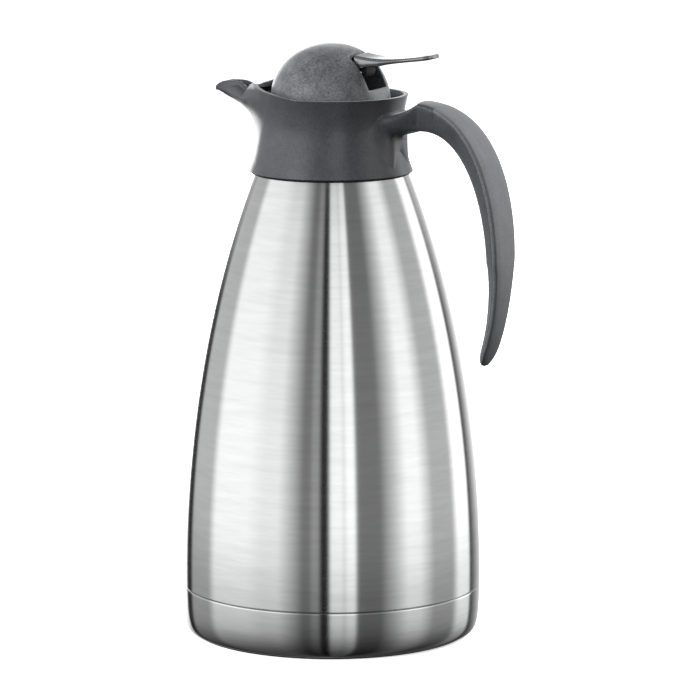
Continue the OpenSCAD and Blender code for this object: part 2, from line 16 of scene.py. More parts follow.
import bmesh
import bpy
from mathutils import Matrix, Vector

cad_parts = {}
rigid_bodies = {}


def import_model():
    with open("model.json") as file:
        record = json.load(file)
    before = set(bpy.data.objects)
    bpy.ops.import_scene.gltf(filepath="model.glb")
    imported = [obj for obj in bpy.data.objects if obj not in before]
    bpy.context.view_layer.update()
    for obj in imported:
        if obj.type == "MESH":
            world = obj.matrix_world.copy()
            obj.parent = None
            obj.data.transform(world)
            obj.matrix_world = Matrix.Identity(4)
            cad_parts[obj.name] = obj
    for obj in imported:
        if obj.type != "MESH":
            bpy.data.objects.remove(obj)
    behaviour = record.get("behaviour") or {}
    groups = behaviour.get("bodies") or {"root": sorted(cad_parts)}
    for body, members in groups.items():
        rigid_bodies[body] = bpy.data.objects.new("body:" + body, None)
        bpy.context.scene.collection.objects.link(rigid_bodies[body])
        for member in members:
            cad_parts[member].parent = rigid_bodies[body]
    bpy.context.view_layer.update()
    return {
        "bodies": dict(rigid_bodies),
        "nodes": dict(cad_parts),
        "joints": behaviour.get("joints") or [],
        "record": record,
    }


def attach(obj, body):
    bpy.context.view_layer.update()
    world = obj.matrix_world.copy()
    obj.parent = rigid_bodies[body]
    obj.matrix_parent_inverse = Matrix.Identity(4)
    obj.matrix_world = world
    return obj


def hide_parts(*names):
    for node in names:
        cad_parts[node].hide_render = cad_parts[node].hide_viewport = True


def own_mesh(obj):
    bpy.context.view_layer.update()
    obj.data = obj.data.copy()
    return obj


LOG = logging.getLogger("carafe")
MM = 0.001
PIN = (19.0, 0.0, 287.0)
SCREW_RING = 21.5
SCREW_TURNS = (60, 180, 300)
Point = tuple[float, ...]
Ring = list[Point]


# ---- Curves and outlines ----

def mixed(a: Point, b: Point, t: float) -> Point:
    """The point at share t of the way from a to b."""
    return tuple(p + (q - p) * t for p, q in zip(a, b))


def bezier(points: Sequence[Point], t: float) -> Point:
    """Finds a point of a Bezier curve.

    Args:
        points: control points, any number of them in any number of dimensions.
        t: place along the curve, 0 to 1.

    Returns:
        The point at t.
    """
    work = list(points)
    while len(work) > 1:
        work = [mixed(a, b, t) for a, b in zip(work, work[1:])]
    return work[0]


def curve(points: Sequence[Point], steps: int) -> Ring:
    """The Bezier curve of these control points as steps + 1 points."""
    return [bezier(points, i / steps) for i in range(steps + 1)]


def bezier_value(values: Sequence[float], t: float) -> float:
    """The value at t of a Bezier curve of plain numbers."""
    return bezier([(v,) for v in values], t)[0]


def eased_step(t: float) -> float:
    """A smooth step from 0 to 1 while t goes from 0 to 1."""
    t = min(1.0, max(0.0, t))
    return t * t * (3 - 2 * t)


def read_line(line: Ring, x: float) -> float:
    """The second value of a line at x, straight between its points; past its end, the last one."""
    for a, b in zip(line, line[1:]):
        if x <= b[0]:
            return a[1] + (b[1] - a[1]) * (x - a[0]) / (b[0] - a[0])
    return line[-1][1]


def distance(a: Point, b: Point) -> float:
    """How far two points are apart."""
    return math.sqrt(sum((p - q) ** 2 for p, q in zip(a, b)))


def eased(loop: Ring, radius: float, steps: int = 4, share: float = 0.46) -> Ring:
    """Rounds every corner of a closed outline.

    Args:
        loop: the corners in order.
        radius: how far before and after a corner its rounding reaches, at most.
        steps: pieces of each rounding.
        share: largest part of an edge that one rounding takes.

    Returns:
        The outline with steps + 1 points for each corner.
    """
    result: Ring = []
    count = len(loop)
    for i, corner in enumerate(loop):
        before, after = loop[i - 1], loop[(i + 1) % count]
        back, ahead = distance(corner, before), distance(corner, after)
        start = mixed(corner, before, min(radius / max(back, 1e-9), share))
        end = mixed(corner, after, min(radius / max(ahead, 1e-9), share))
        result += [bezier((start, corner, end), k / steps) for k in range(steps + 1)]
    return result


# ---- Meshes ----

@dataclass
class Shell:
    """Points in millimetres and faces of one mesh in the making."""

    points: list[Point]
    faces: list[tuple[int, ...]]

    def add(self, other: "Shell") -> "Shell":
        """Takes another mesh in, and returns this one."""
        base = len(self.points)
        self.points += other.points
        self.faces += [tuple(base + i for i in face) for face in other.faces]
        return self


def turned(profile: Ring, sides: int, closed: bool = True) -> Shell:
    """Turns an outline about the Z axis.

    Args:
        profile: (radius, height) points, upwards on the outer side.
        sides: faces round the axis.
        closed: whether the last point joins the first; an open one ends on the axis.

    Returns:
        The turned mesh.
    """
    rows: list[list[int]] = []
    points: list[Point] = []
    for r, z in profile:
        if r < 1e-6:
            rows.append([len(points)] * sides)
            points.append((0.0, 0.0, z))
            continue
        rows.append(list(range(len(points), len(points) + sides)))
        points += [(r * math.cos(math.tau * i / sides), r * math.sin(math.tau * i / sides), z)
                   for i in range(sides)]
    faces = []
    for j in range(len(rows) if closed else len(rows) - 1):
        low, high = rows[j], rows[(j + 1) % len(rows)]
        for i in range(sides):
            k = (i + 1) % sides
            face = list(dict.fromkeys((low[i], low[k], high[k], high[i])))
            if len(face) > 2:
                faces.append(tuple(face))
    return Shell(points, faces)


def lofted(rings: list[Ring], closed: bool = False, flat: bool = False) -> Shell:
    """Joins rings of equal point count.

    Args:
        rings: the rings in order along the piece.
        closed: whether the last ring joins the first; otherwise both ends are capped.
        flat: whether an end is flat, and gets one face, or is filled from its middle.

    Returns:
        The lofted mesh.
    """
    n = len(rings[0])
    points = [p for ring in rings for p in ring]
    faces: list[tuple[int, ...]] = []
    for j in range(len(rings) if closed else len(rings) - 1):
        a, b = j * n, ((j + 1) % len(rings)) * n
        faces += [(a + i, a + (i + 1) % n, b + (i + 1) % n, b + i) for i in range(n)]
    if not closed:
        for ring, base in ((rings[0], 0), (rings[-1], (len(rings) - 1) * n)):
            if flat:
                faces.append(tuple(base + i for i in range(n)))
                continue
            centre = tuple(sum(p[k] for p in ring) / n for k in range(3))
            points.append(centre)
            faces += [(base + i, base + (i + 1) % n, len(points) - 1) for i in range(n)]
    return Shell(points, faces)


def block(low: Point, high: Point, radius: float, axis: int = 2) -> Shell:
    """A block whose edges along one axis are rounded.

    Args:
        low: lowest corner.
        high: highest corner.
        radius: rounding of the edges along the axis.
        axis: 0, 1 or 2, the axis of the rounded edges.

    Returns:
        The block's mesh.
    """
    u, v = [k for k in range(3) if k != axis]
    loop = eased([(low[u], low[v]), (high[u], low[v]), (high[u], high[v]), (low[u], high[v])], radius)
    rings = []
    for end in (low[axis], high[axis]):
        ring = []
        for p in loop:
            spot = [0.0, 0.0, 0.0]
            spot[u], spot[v], spot[axis] = p[0], p[1], end
            ring.append(tuple(spot))
        rings.append(ring)
    return lofted(rings, flat=True)


def rod(centre: Point, radius: float, half: float, edge: float, sides: int = 48) -> Shell:
    """A round rod along Y with chamfered, softly crowned ends.

    Args:
        centre: middle of the rod.
        radius: its radius.
        half: half its length.
        edge: width of the chamfer.
        sides: faces round it.

    Returns:
        The rod's mesh.
    """
    profile = [(0.0, -half), (radius - edge, -half + 0.15 * edge), (radius - 0.3 * edge, -half + 0.45 * edge),
               (radius, -half + edge), (radius, half - edge), (radius - 0.3 * edge, half - 0.45 * edge),
               (radius - edge, half - 0.15 * edge), (0.0, half)]
    shell = turned(profile, sides, closed=False)
    shell.points = [(centre[0] + x, centre[1] + z, centre[2] - y) for x, y, z in shell.points]
    return shell


def finished_mesh(obj: bpy.types.Object, angle: float = 32.0) -> None:
    """Merges doubles, turns faces outwards and smooths a closed piece.

    Args:
        obj: the piece, a closed solid.
        angle: edges that turn more than this many degrees stay crisp.
    """
    work = bmesh.new()
    work.from_mesh(obj.data)
    bmesh.ops.remove_doubles(work, verts=work.verts, dist=2e-6)
    bmesh.ops.dissolve_degenerate(work, edges=work.edges, dist=1e-6)
    bmesh.ops.recalc_face_normals(work, faces=work.faces)
    work.to_mesh(obj.data)
    work.free()
    for face in obj.data.polygons:
        face.use_smooth = True
    obj.data.set_sharp_from_angle(angle=math.radians(angle))


def new_piece(name: str, shell: Shell, angle: float = 32.0) -> bpy.types.Object:
    """Makes an object of a mesh given in millimetres.

    Args:
        name: the piece's name.
        shell: its points and faces.
        angle: edges that turn more than this many degrees stay crisp.

    Returns:
        The new object, at the origin.
    """
    mesh = bpy.data.meshes.new(name)
    mesh.from_pydata([tuple(c * MM for c in p) for p in shell.points], [], shell.faces)
    obj = bpy.data.objects.new(name, mesh)
    bpy.context.scene.collection.objects.link(obj)
    finished_mesh(obj, angle)
    return obj


def settled(obj: bpy.types.Object) -> bpy.types.Object:
    """Turns a piece with its modifiers into a plain mesh, and returns it."""
    graph = bpy.context.evaluated_depsgraph_get()
    graph.update()
    mesh = bpy.data.meshes.new_from_object(obj.evaluated_get(graph), depsgraph=graph)
    mesh.name = obj.name
    obj.modifiers.clear()
    obj.data = mesh
    return obj


def combined(obj: bpy.types.Object, shell: Shell, operation: str) -> None:
    """Cuts, joins or crosses a piece with another solid, which then goes.

    Args:
        obj: the piece that is changed.
        shell: the other solid.
        operation: DIFFERENCE, UNION or INTERSECT.
    """
    other = new_piece(obj.name + "_tool", shell)
    step = obj.modifiers.new("step", "BOOLEAN")
    step.operation, step.solver, step.object = operation, "EXACT", other
    settled(obj)
    bpy.data.objects.remove(other)


def softened(obj: bpy.types.Object, voxel: float, rounds: int) -> None:
    """Rebuilds a solid in even small faces with softly rounded edges.

    Args:
        obj: the piece.
        voxel: size of a face in millimetres.
        rounds: smoothing rounds, each of which widens the rounding.
    """
    remesh = obj.modifiers.new("even faces", "REMESH")
    remesh.mode, remesh.voxel_size, remesh.use_smooth_shade = "VOXEL", voxel * MM, True
    smooth = obj.modifiers.new("soft edges", "SMOOTH")
    smooth.factor, smooth.iterations = 0.5, rounds
    settled(obj)
    for face in obj.data.polygons:
        face.use_smooth = True


# ---- Node trees ----

class Tree:
    """A node tree that is built by name."""

    def __init__(self, tree: bpy.types.NodeTree) -> None:
        """Holds the tree, emptied of its nodes."""
        self.tree = tree
        tree.nodes.clear()

    def add(self, kind: str, values: dict | None = None, **settings: object) -> bpy.types.Node:
        """Adds a node.

        Args:
            kind: the node's type name.
            values: what each input gets, a plain value or the output of another node.
            settings: the node's own settings.

        Returns:
            The new node.
        """
        node = self.tree.nodes.new(kind)
        for key, value in settings.items():
            setattr(node, key, value)
        for key, value in (values or {}).items():
            if isinstance(value, bpy.types.NodeSocket):
                self.tree.links.new(value, node.inputs[key])
            else:
                node.inputs[key].default_value = value
        return node

    def math(self, operation: str, a: object, b: object = 0.0, c: object = 0.0) -> bpy.types.NodeSocket:
        """The output of a Math node on up to three numbers or sockets."""
        return self.add("ShaderNodeMath", {0: a, 1: b, 2: c}, operation=operation).outputs[0]

    def vector_mix(self, a: object, b: object, t: object) -> bpy.types.NodeSocket:
        """The output of a vector Mix node."""
        return self.add("ShaderNodeMix", {0: t, 4: a, 5: b}, data_type="VECTOR").outputs[1]

    def send(self, end: bpy.types.Node, **results: bpy.types.NodeSocket) -> bpy.types.NodeTree:
        """Links results to the named inputs of the group's output node, and returns the group."""
        for label, result in results.items():
            self.tree.links.new(result, end.inputs[label])
        return self.tree

    def finish(self, end: bpy.types.Node, geometry: bpy.types.NodeSocket, material: bpy.types.Material,
               smooth: bool = True) -> bpy.types.NodeTree:
        """Ends a Geometry Nodes group with real faces that carry their finish.

        Args:
            end: the group's output node.
            geometry: what the group has made.
            material: its finish.
            smooth: whether its faces are shaded smooth.

        Returns:
            The group.
        """
        if smooth:
            geometry = self.add("GeometryNodeSetShadeSmooth", {"Geometry": geometry}).outputs[0]
        real = self.add("GeometryNodeRealizeInstances", {"Geometry": geometry})
        painted = self.add("GeometryNodeSetMaterial", {"Geometry": real.outputs[0], "Material": material})
        return self.send(end, Geometry=painted.outputs[0])

    def coil(self, turns: object, radius: object, rise: object, wire: object, steps: int,
             sides: int) -> bpy.types.NodeSocket:
        """Winds a round wire into a coil about the Z axis.

        Args:
            turns: how many turns it has.
            radius: radius of the coil to the middle of its wire.
            rise: its height.
            wire: radius of the wire.
            steps: pieces of each turn.
            sides: faces round the wire.

        Returns:
            The coil's closed mesh, which starts at height 0.
        """
        line = self.add("GeometryNodeCurveSpiral", {
            "Resolution": steps, "Rotations": turns, "Start Radius": radius, "End Radius": radius,
            "Height": rise})
        section = self.add("GeometryNodeCurvePrimitiveCircle", {"Resolution": sides, "Radius": wire})
        return self.add("GeometryNodeCurveToMesh", {
            "Curve": line.outputs[0], "Profile Curve": section.outputs[0], "Fill Caps": True}).outputs[0]


def group_tree(name: str, kind: str, inputs: dict[str, tuple[str, object]],
               outputs: dict[str, str]) -> tuple[Tree, bpy.types.Node, bpy.types.Node]:
    """Starts a node group.

    Args:
        name: the group's name.
        kind: ShaderNodeTree or GeometryNodeTree.
        inputs: each input's socket type and starting value.
        outputs: each output's socket type.

    Returns:
        The tree, its input node and its output node.
    """
    group = bpy.data.node_groups.new(name, kind)
    for label, (socket, value) in inputs.items():
        made = group.interface.new_socket(label, in_out="INPUT", socket_type=socket)
        if value is not None:
            made.default_value = value
    for label, socket in outputs.items():
        group.interface.new_socket(label, in_out="OUTPUT", socket_type=socket)
    tree = Tree(group)
    return tree, tree.add("NodeGroupInput"), tree.add("NodeGroupOutput")


def grown(name: str, group: bpy.types.NodeTree, values: dict[str, object]) -> bpy.types.Object:
    """Makes a plain mesh from a Geometry Nodes tree.

    Args:
        name: the piece's name.
        group: the tree.
        values: its named inputs.

    Returns:
        The piece, with the modifier gone.
    """
    obj = bpy.data.objects.new(name, bpy.data.meshes.new(name))
    bpy.context.scene.collection.objects.link(obj)
    modifier = obj.modifiers.new("grow", "NODES")
    modifier.node_group = group
    for item in group.interface.items_tree:
        if item.item_type == "SOCKET" and item.in_out == "INPUT" and item.name in values:
            modifier[item.identifier] = values[item.name]
    return settled(obj)


# ---- Finishes ----

class Slot(Enum):
    """The record's material slots."""

    SHELL = "steel_shell"
    VESSEL = "vessel_steel"
    BRIGHT = "bright_steel"
    BRASS = "getter_brass"
    COLLAR = "collar_plastic"
    HANDLE = "handle_plastic"
    DOME = "dome_plastic"
    LEVER = "lever_plastic"
    INNER = "inner_plastic"
    RUBBER = "foot_rubber"
    SILICONE = "silicone"


class Effects:
    """Shader groups that several finishes share."""

    def __init__(self) -> None:
        """Builds the groups."""
        self.grain = self._moulded_grain()
        self.brushed = self._brushed_grain()
        self.scuffs = self._scuffs()

    def _moulded_grain(self) -> bpy.types.NodeTree:
        """Fine spark-eroded texture of a moulded part: a height and a slow mottle."""
        tree, start, end = group_tree("moulded grain", "ShaderNodeTree", {
            "Grain Size": ("NodeSocketFloat", 1400.0), "Mottle Size": ("NodeSocketFloat", 120.0)},
            {"Height": "NodeSocketFloat", "Mottle": "NodeSocketFloat"})
        place = tree.add("ShaderNodeTexCoord").outputs["Object"]
        fine = tree.add("ShaderNodeTexNoise", {"Vector": place, "Scale": start.outputs["Grain Size"],
                                               "Detail": 2.0, "Roughness": 0.6})
        cells = tree.add("ShaderNodeTexVoronoi", {"Vector": place, "Scale": start.outputs["Grain Size"]})
        slow = tree.add("ShaderNodeTexNoise", {"Vector": place, "Scale": start.outputs["Mottle Size"],
                                               "Detail": 4.0, "Roughness": 0.65})
        height = tree.math("ADD", tree.math("MULTIPLY", fine.outputs["Fac"], 0.6),
                           tree.math("MULTIPLY", cells.outputs["Distance"], 0.4))
        mottle = tree.math("ADD", tree.math("MULTIPLY", fine.outputs["Fac"], 0.6),
                           tree.math("MULTIPLY", slow.outputs["Fac"], 0.4))
        return tree.send(end, Height=height, Mottle=mottle)

    def _brushed_grain(self) -> bpy.types.NodeTree:
        """Short scratches that run round the axis: a height and a tone."""
        tree, start, end = group_tree("brushed grain", "ShaderNodeTree", {
            "Along": ("NodeSocketFloat", 120.0), "Across": ("NodeSocketFloat", 2600.0)},
            {"Height": "NodeSocketFloat", "Tone": "NodeSocketFloat"})
        place = tree.add("ShaderNodeTexCoord").outputs["Object"]
        stretch = tree.add("ShaderNodeCombineXYZ", {0: start.outputs["Along"], 1: start.outputs["Along"],
                                                    2: start.outputs["Across"]})
        long_way = tree.add("ShaderNodeVectorMath", {0: place, 1: stretch.outputs[0]}, operation="MULTIPLY")
        fine = tree.add("ShaderNodeTexNoise", {"Vector": long_way.outputs[0], "Scale": 1.0,
                                               "Detail": 5.0, "Roughness": 0.62})
        broad = tree.add("ShaderNodeVectorMath", {0: long_way.outputs[0], 1: (0.3, 0.3, 0.12)},
                         operation="MULTIPLY")
        tone = tree.add("ShaderNodeTexNoise", {"Vector": broad.outputs[0], "Scale": 1.0,
                                               "Detail": 3.0, "Roughness": 0.6})
        return tree.send(end, Height=fine.outputs["Fac"], Tone=tone.outputs["Fac"])

    def _scuffs(self) -> bpy.types.NodeTree:
        """Faint handling marks: a mask that is nought almost everywhere."""
        tree, start, end = group_tree("scuffs", "ShaderNodeTree", {
            "Size": ("NodeSocketFloat", 60.0), "Amount": ("NodeSocketFloat", 0.5)},
            {"Mask": "NodeSocketFloat"})
        place = tree.add("ShaderNodeTexCoord").outputs["Object"]
        wave = tree.add("ShaderNodeTexNoise", {"Vector": place, "Scale": start.outputs["Size"],
                                               "Detail": 7.0, "Roughness": 0.72, "Distortion": 0.6})
        mask = tree.add("ShaderNodeMapRange", {"Value": wave.outputs["Fac"], "From Min": 0.62,
                                               "From Max": 0.76, "To Min": 0.0,
                                               "To Max": start.outputs["Amount"]})
        return tree.send(end, Mask=mask.outputs[0])


def new_material(name: str) -> tuple[bpy.types.Material, Tree]:
    """A new material and its node tree, still empty."""
    material = bpy.data.materials.new(name)
    material.use_nodes = True
    return material, Tree(material.node_tree)


def toned(tree: Tree, pattern: bpy.types.NodeSocket, colour: Point,
          swing: float) -> tuple[bpy.types.NodeSocket, bpy.types.NodeSocket]:
    """Lets a colour swing darker and lighter with a pattern.

    Args:
        tree: the material's tree.
        pattern: the pattern, which stays near a half.
        colour: the middle colour.
        swing: how far it swings, as a share of the colour.

    Returns:
        The colour, and the pattern spread from 0 to 1.
    """
    dark = tuple(c * (1 - swing) for c in colour) + (1.0,)
    light = tuple(min(1.0, c * (1 + swing)) for c in colour) + (1.0,)
    spread = tree.add("ShaderNodeMapRange", {"Value": pattern, "From Min": 0.3, "From Max": 0.7})
    mix = tree.add("ShaderNodeMix", {0: spread.outputs[0], 6: dark, 7: light}, data_type="RGBA")
    return mix.outputs[2], spread.outputs[0]


@dataclass(frozen=True)
class Plastic:
    """A moulded plastic or rubber."""

    name: str
    colour: Point
    roughness: float
    grain_size: float = 1000.0
    bump: float = 0.3
    mottle: float = 0.12
    gloss: float = 0.5
    sheen: float = 0.0
    metal: float = 0.0
    clear: float = 0.0

    def build(self, effects: Effects) -> bpy.types.Material:
        """Makes the material.

        Args:
            effects: the shared shader groups.

        Returns:
            The material.
        """
        material, tree = new_material(self.name)
        grain = tree.add("ShaderNodeGroup", {"Grain Size": self.grain_size}, node_tree=effects.grain)
        scuff = tree.add("ShaderNodeGroup", {"Amount": 0.35}, node_tree=effects.scuffs)
        tone, spread = toned(tree, grain.outputs["Mottle"], self.colour, self.mottle)
        rough = tree.math("ADD", self.roughness - 0.03, tree.math("MULTIPLY", spread, 0.06))
        rough = tree.math("ADD", rough, tree.math("MULTIPLY", scuff.outputs["Mask"], 0.12))
        bump = tree.add("ShaderNodeBump", {"Height": grain.outputs["Height"], "Strength": self.bump,
                                           "Distance": 0.00012})
        shader = tree.add("ShaderNodeBsdfPrincipled", {
            "Base Color": tone, "Roughness": rough, "Normal": bump.outputs[0],
            "Specular IOR Level": self.gloss,
            "Sheen Weight": self.sheen, "Sheen Roughness": 0.3, "Metallic": self.metal})
        if self.clear:
            shader.inputs["Subsurface Weight"].default_value = self.clear
            shader.inputs["Subsurface Radius"].default_value = (0.002, 0.0018, 0.0016)
        tree.add("ShaderNodeOutputMaterial", {"Surface": shader.outputs[0]})
        return material


@dataclass(frozen=True)
class Metal:
    """A drawn, turned or brushed metal."""

    name: str
    colour: Point
    roughness: float
    along: float = 120.0
    across: float = 2600.0
    bump: float = 0.05
    anisotropy: float = 0.0
    tone: float = 0.05

    def build(self, effects: Effects) -> bpy.types.Material:
        """Makes the material.

        Args:
            effects: the shared shader groups.

        Returns:
            The material.
        """
        material, tree = new_material(self.name)
        grain = tree.add("ShaderNodeGroup", {"Along": self.along, "Across": self.across},
                         node_tree=effects.brushed)
        scuff = tree.add("ShaderNodeGroup", {"Size": 45.0, "Amount": 0.3}, node_tree=effects.scuffs)
        tone, _ = toned(tree, grain.outputs["Tone"], self.colour, self.tone)
        rough = tree.math("ADD", self.roughness * 0.85,
                          tree.math("MULTIPLY", grain.outputs["Height"], self.roughness * 0.3))
        rough = tree.math("ADD", rough, tree.math("MULTIPLY", scuff.outputs["Mask"], 0.1))
        bump = tree.add("ShaderNodeBump", {"Height": grain.outputs["Height"], "Strength": self.bump,
                                           "Distance": 0.00005})
        tangent = tree.add("ShaderNodeTangent", direction_type="RADIAL", axis="Z")
        shader = tree.add("ShaderNodeBsdfPrincipled", {
            "Base Color": tone, "Roughness": rough, "Normal": bump.outputs[0],
            "Metallic": 1.0, "Anisotropic": self.anisotropy, "Anisotropic Rotation": 0.25})
        if self.anisotropy:
            tree.tree.links.new(tangent.outputs[0], shader.inputs["Tangent"])
        tree.add("ShaderNodeOutputMaterial", {"Surface": shader.outputs[0]})
        return material


FINISHES: dict[Slot, Plastic | Metal] = {
    Slot.SHELL: Metal("brushed steel", (0.86, 0.865, 0.87), 0.14, anisotropy=0.85, bump=0.12, tone=0.05),
    Slot.VESSEL: Metal("drawn steel", (0.66, 0.66, 0.665), 0.3, across=900.0, bump=0.08),
    Slot.BRIGHT: Metal("bright steel", (0.78, 0.78, 0.79), 0.14, across=1200.0, bump=0.02),
    Slot.BRASS: Metal("brazing metal", (0.66, 0.53, 0.3), 0.42, along=900.0, across=900.0, bump=0.2),
    Slot.COLLAR: Plastic("anthracite collar", (0.058, 0.06, 0.067), 0.31, mottle=0.35, gloss=0.75, sheen=0.3),
    Slot.HANDLE: Plastic("grey handle cover", (0.14, 0.143, 0.151), 0.4, mottle=0.3),
    Slot.DOME: Plastic("grey dome", (0.125, 0.127, 0.135), 0.3, mottle=0.7, gloss=0.75, sheen=0.3),
    Slot.LEVER: Plastic("glossy lever", (0.42, 0.425, 0.435), 0.24, bump=0.04, mottle=0.12, metal=0.85),
    Slot.INNER: Plastic("inner plastic", (0.03, 0.031, 0.034), 0.48, mottle=0.1),
    # Near-black rubber: the own colour of the seals and foot, and painted shade where it stands for the
    # shadow under the collar's lip, the contact shade along the bottom and the shaded slot round the lever's
    # web.
    Slot.RUBBER: Plastic("foot rubber", (0.02, 0.02, 0.022), 0.62, grain_size=900.0, bump=0.25),
    Slot.SILICONE: Plastic("silicone", (0.72, 0.7, 0.66), 0.45, bump=0.04, mottle=0.03, clear=0.3),
}


class Dresser:
    """Gives pieces their finishes and hands them to the frame."""

    def __init__(self) -> None:
        """Builds every finish."""
        effects = Effects()
        self.materials = {slot: finish.build(effects) for slot, finish in FINISHES.items()}

    def dress(self, obj: bpy.types.Object, slot: Slot, body: str, *nodes: str) -> bpy.types.Object:
        """Finishes a piece and fixes it to its body.

        Args:
            obj: the piece.
            slot: its material slot.
            body: the body that carries it.
            nodes: the CAD nodes that it stands for.

        Returns:
            The piece.
        """
        obj.data.materials.clear()
        obj.data.materials.append(self.materials[slot])
        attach(obj, body)
        if nodes:
            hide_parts(*nodes)
        LOG.info("%s: %d faces on %s", obj.name, len(obj.data.polygons), body)
        return obj

    def repaint(self, frame: dict, node: str, slot: Slot) -> None:
        """Gives a CAD node that stays its finish."""
        obj = frame["nodes"][node]
        obj.data.materials.clear()
        obj.data.materials.append(self.materials[slot])
        LOG.info("%s keeps its CAD mesh", node)


# ---- Bottle ----

@dataclass
class Bottle:
    """The steel shell, the base cup with its foot, and the inner vessel."""

    body_r: float = 75.8
    groove_z: float = 25.2
    top_r: float = 38.85
    top_z: float = 236.0
    neck_r: float = 32.5
    neck_top_z: float = 256.0
    sheet: float = 0.8
    foot_r: float = 71.0
    foot_w: float = 9.4
    sides: int = 256

    def strip_group(self) -> bpy.types.NodeTree:
        """Builds the group that turns one Bezier line about the axis.

        Returns:
            The group: a strip of faces whose line has four control points (radius, 0, height).
        """
        tree, start, end = group_tree("turned bezier strip", "GeometryNodeTree", {
            "Around": ("NodeSocketInt", 64), "Up": ("NodeSocketInt", 16),
            "Foot": ("NodeSocketVector", None), "Foot Pull": ("NodeSocketVector", None),
            "Top Pull": ("NodeSocketVector", None), "Top": ("NodeSocketVector", None)},
            {"Strip": "NodeSocketGeometry"})
        grid = tree.add("GeometryNodeMeshGrid", {
            "Size X": 1.0, "Size Y": 1.0, "Vertices X": tree.math("ADD", start.outputs["Around"], 1.0),
            "Vertices Y": tree.math("ADD", start.outputs["Up"], 1.0)})
        place = tree.add("ShaderNodeSeparateXYZ", {0: tree.add("GeometryNodeInputPosition").outputs[0]})
        turn = tree.math("MULTIPLY", tree.math("ADD", place.outputs[0], 0.5), math.tau)
        t = tree.math("ADD", place.outputs[1], 0.5)
        line = [start.outputs[k] for k in ("Foot", "Foot Pull", "Top Pull", "Top")]
        while len(line) > 1:
            line = [tree.vector_mix(a, b, t) for a, b in zip(line, line[1:])]
        spot = tree.add("ShaderNodeSeparateXYZ", {0: line[0]})
        moved = tree.add("ShaderNodeCombineXYZ", {
            0: tree.math("MULTIPLY", spot.outputs[0], tree.math("COSINE", turn)),
            1: tree.math("MULTIPLY", spot.outputs[0], tree.math("SINE", turn)), 2: spot.outputs[2]})
        strip = tree.add("GeometryNodeSetPosition", {"Geometry": grid.outputs["Mesh"],
                                                     "Position": moved.outputs[0]})
        return tree.send(end, Strip=strip.outputs[0])

    def shell_group(self, material: bpy.types.Material) -> bpy.types.NodeTree:
        """Builds the shell's tree: side, shoulder and neck strips, merged at their seams.

        Args:
            material: the shell's finish.

        Returns:
            The tree, with named inputs for the radii and heights.
        """
        tree, start, end = group_tree("steel shell", "GeometryNodeTree", {
            "Around": ("NodeSocketInt", 64), "Body Radius": ("NodeSocketFloat", 0.07),
            "Groove Height": ("NodeSocketFloat", 0.02), "Top Radius": ("NodeSocketFloat", 0.04),
            "Top Height": ("NodeSocketFloat", 0.2), "Neck Radius": ("NodeSocketFloat", 0.03),
            "Neck Top": ("NodeSocketFloat", 0.25)}, {"Geometry": "NodeSocketGeometry"})
        strip = self.strip_group()
        read = start.outputs

        def spot(radius: str, dr: float, height: str, dz: float) -> bpy.types.NodeSocket:
            """A control point: a named radius and height, each with an offset in millimetres."""
            return tree.add("ShaderNodeCombineXYZ", {
                0: tree.math("ADD", read[radius], dr * MM), 1: 0.0,
                2: tree.math("ADD", read[height], dz * MM)}).outputs[0]

        lines = [
            (90, [spot("Body Radius", 0, "Groove Height", 0), spot("Body Radius", 0, "Groove Height", 17),
                  spot("Body Radius", 1.2, "Groove Height", 114.8), spot("Top Radius", 0, "Top Height", 0)]),
            (18, [spot("Top Radius", 0, "Top Height", 0), spot("Top Radius", -2.25, "Top Height", 5.5),
                  spot("Neck Radius", 0, "Top Height", 4), spot("Neck Radius", 0, "Top Height", 11)]),
            (8, [spot("Neck Radius", 0, "Top Height", 11), spot("Neck Radius", 0, "Top Height", 14),
                 spot("Neck Radius", 0, "Neck Top", -3), spot("Neck Radius", 0, "Neck Top", 0)])]
        joined = tree.add("GeometryNodeJoinGeometry")
        for up, points in lines:
            part = tree.add("GeometryNodeGroup", node_tree=strip)
            part.inputs["Up"].default_value = up
            tree.tree.links.new(read["Around"], part.inputs["Around"])
            for label, point in zip(("Foot", "Foot Pull", "Top Pull", "Top"), points):
                tree.tree.links.new(point, part.inputs[label])
            tree.tree.links.new(part.outputs[0], joined.inputs[0])
        merged = tree.add("GeometryNodeMergeByDistance", {"Geometry": joined.outputs[0], "Distance": 2e-6})
        return tree.finish(end, merged.outputs[0], material)

    def shell(self, dresser: Dresser) -> bpy.types.Object:
        """Builds the outer steel shell with its sheet thickness."""
        obj = grown("steel_shell", self.shell_group(dresser.materials[Slot.SHELL]), {
            "Around": self.sides, "Body Radius": self.body_r * MM, "Groove Height": self.groove_z * MM,
            "Top Radius": self.top_r * MM, "Top Height": self.top_z * MM,
            "Neck Radius": self.neck_r * MM, "Neck Top": self.neck_top_z * MM})
        wall = obj.modifiers.new("sheet", "SOLIDIFY")
        wall.thickness, wall.offset, wall.use_even_offset = self.sheet * MM, -1.0, True
        settled(obj)
        obj.data.set_sharp_from_angle(angle=math.radians(40))
        return dresser.dress(obj, Slot.SHELL, "carafe", "outer_shell")

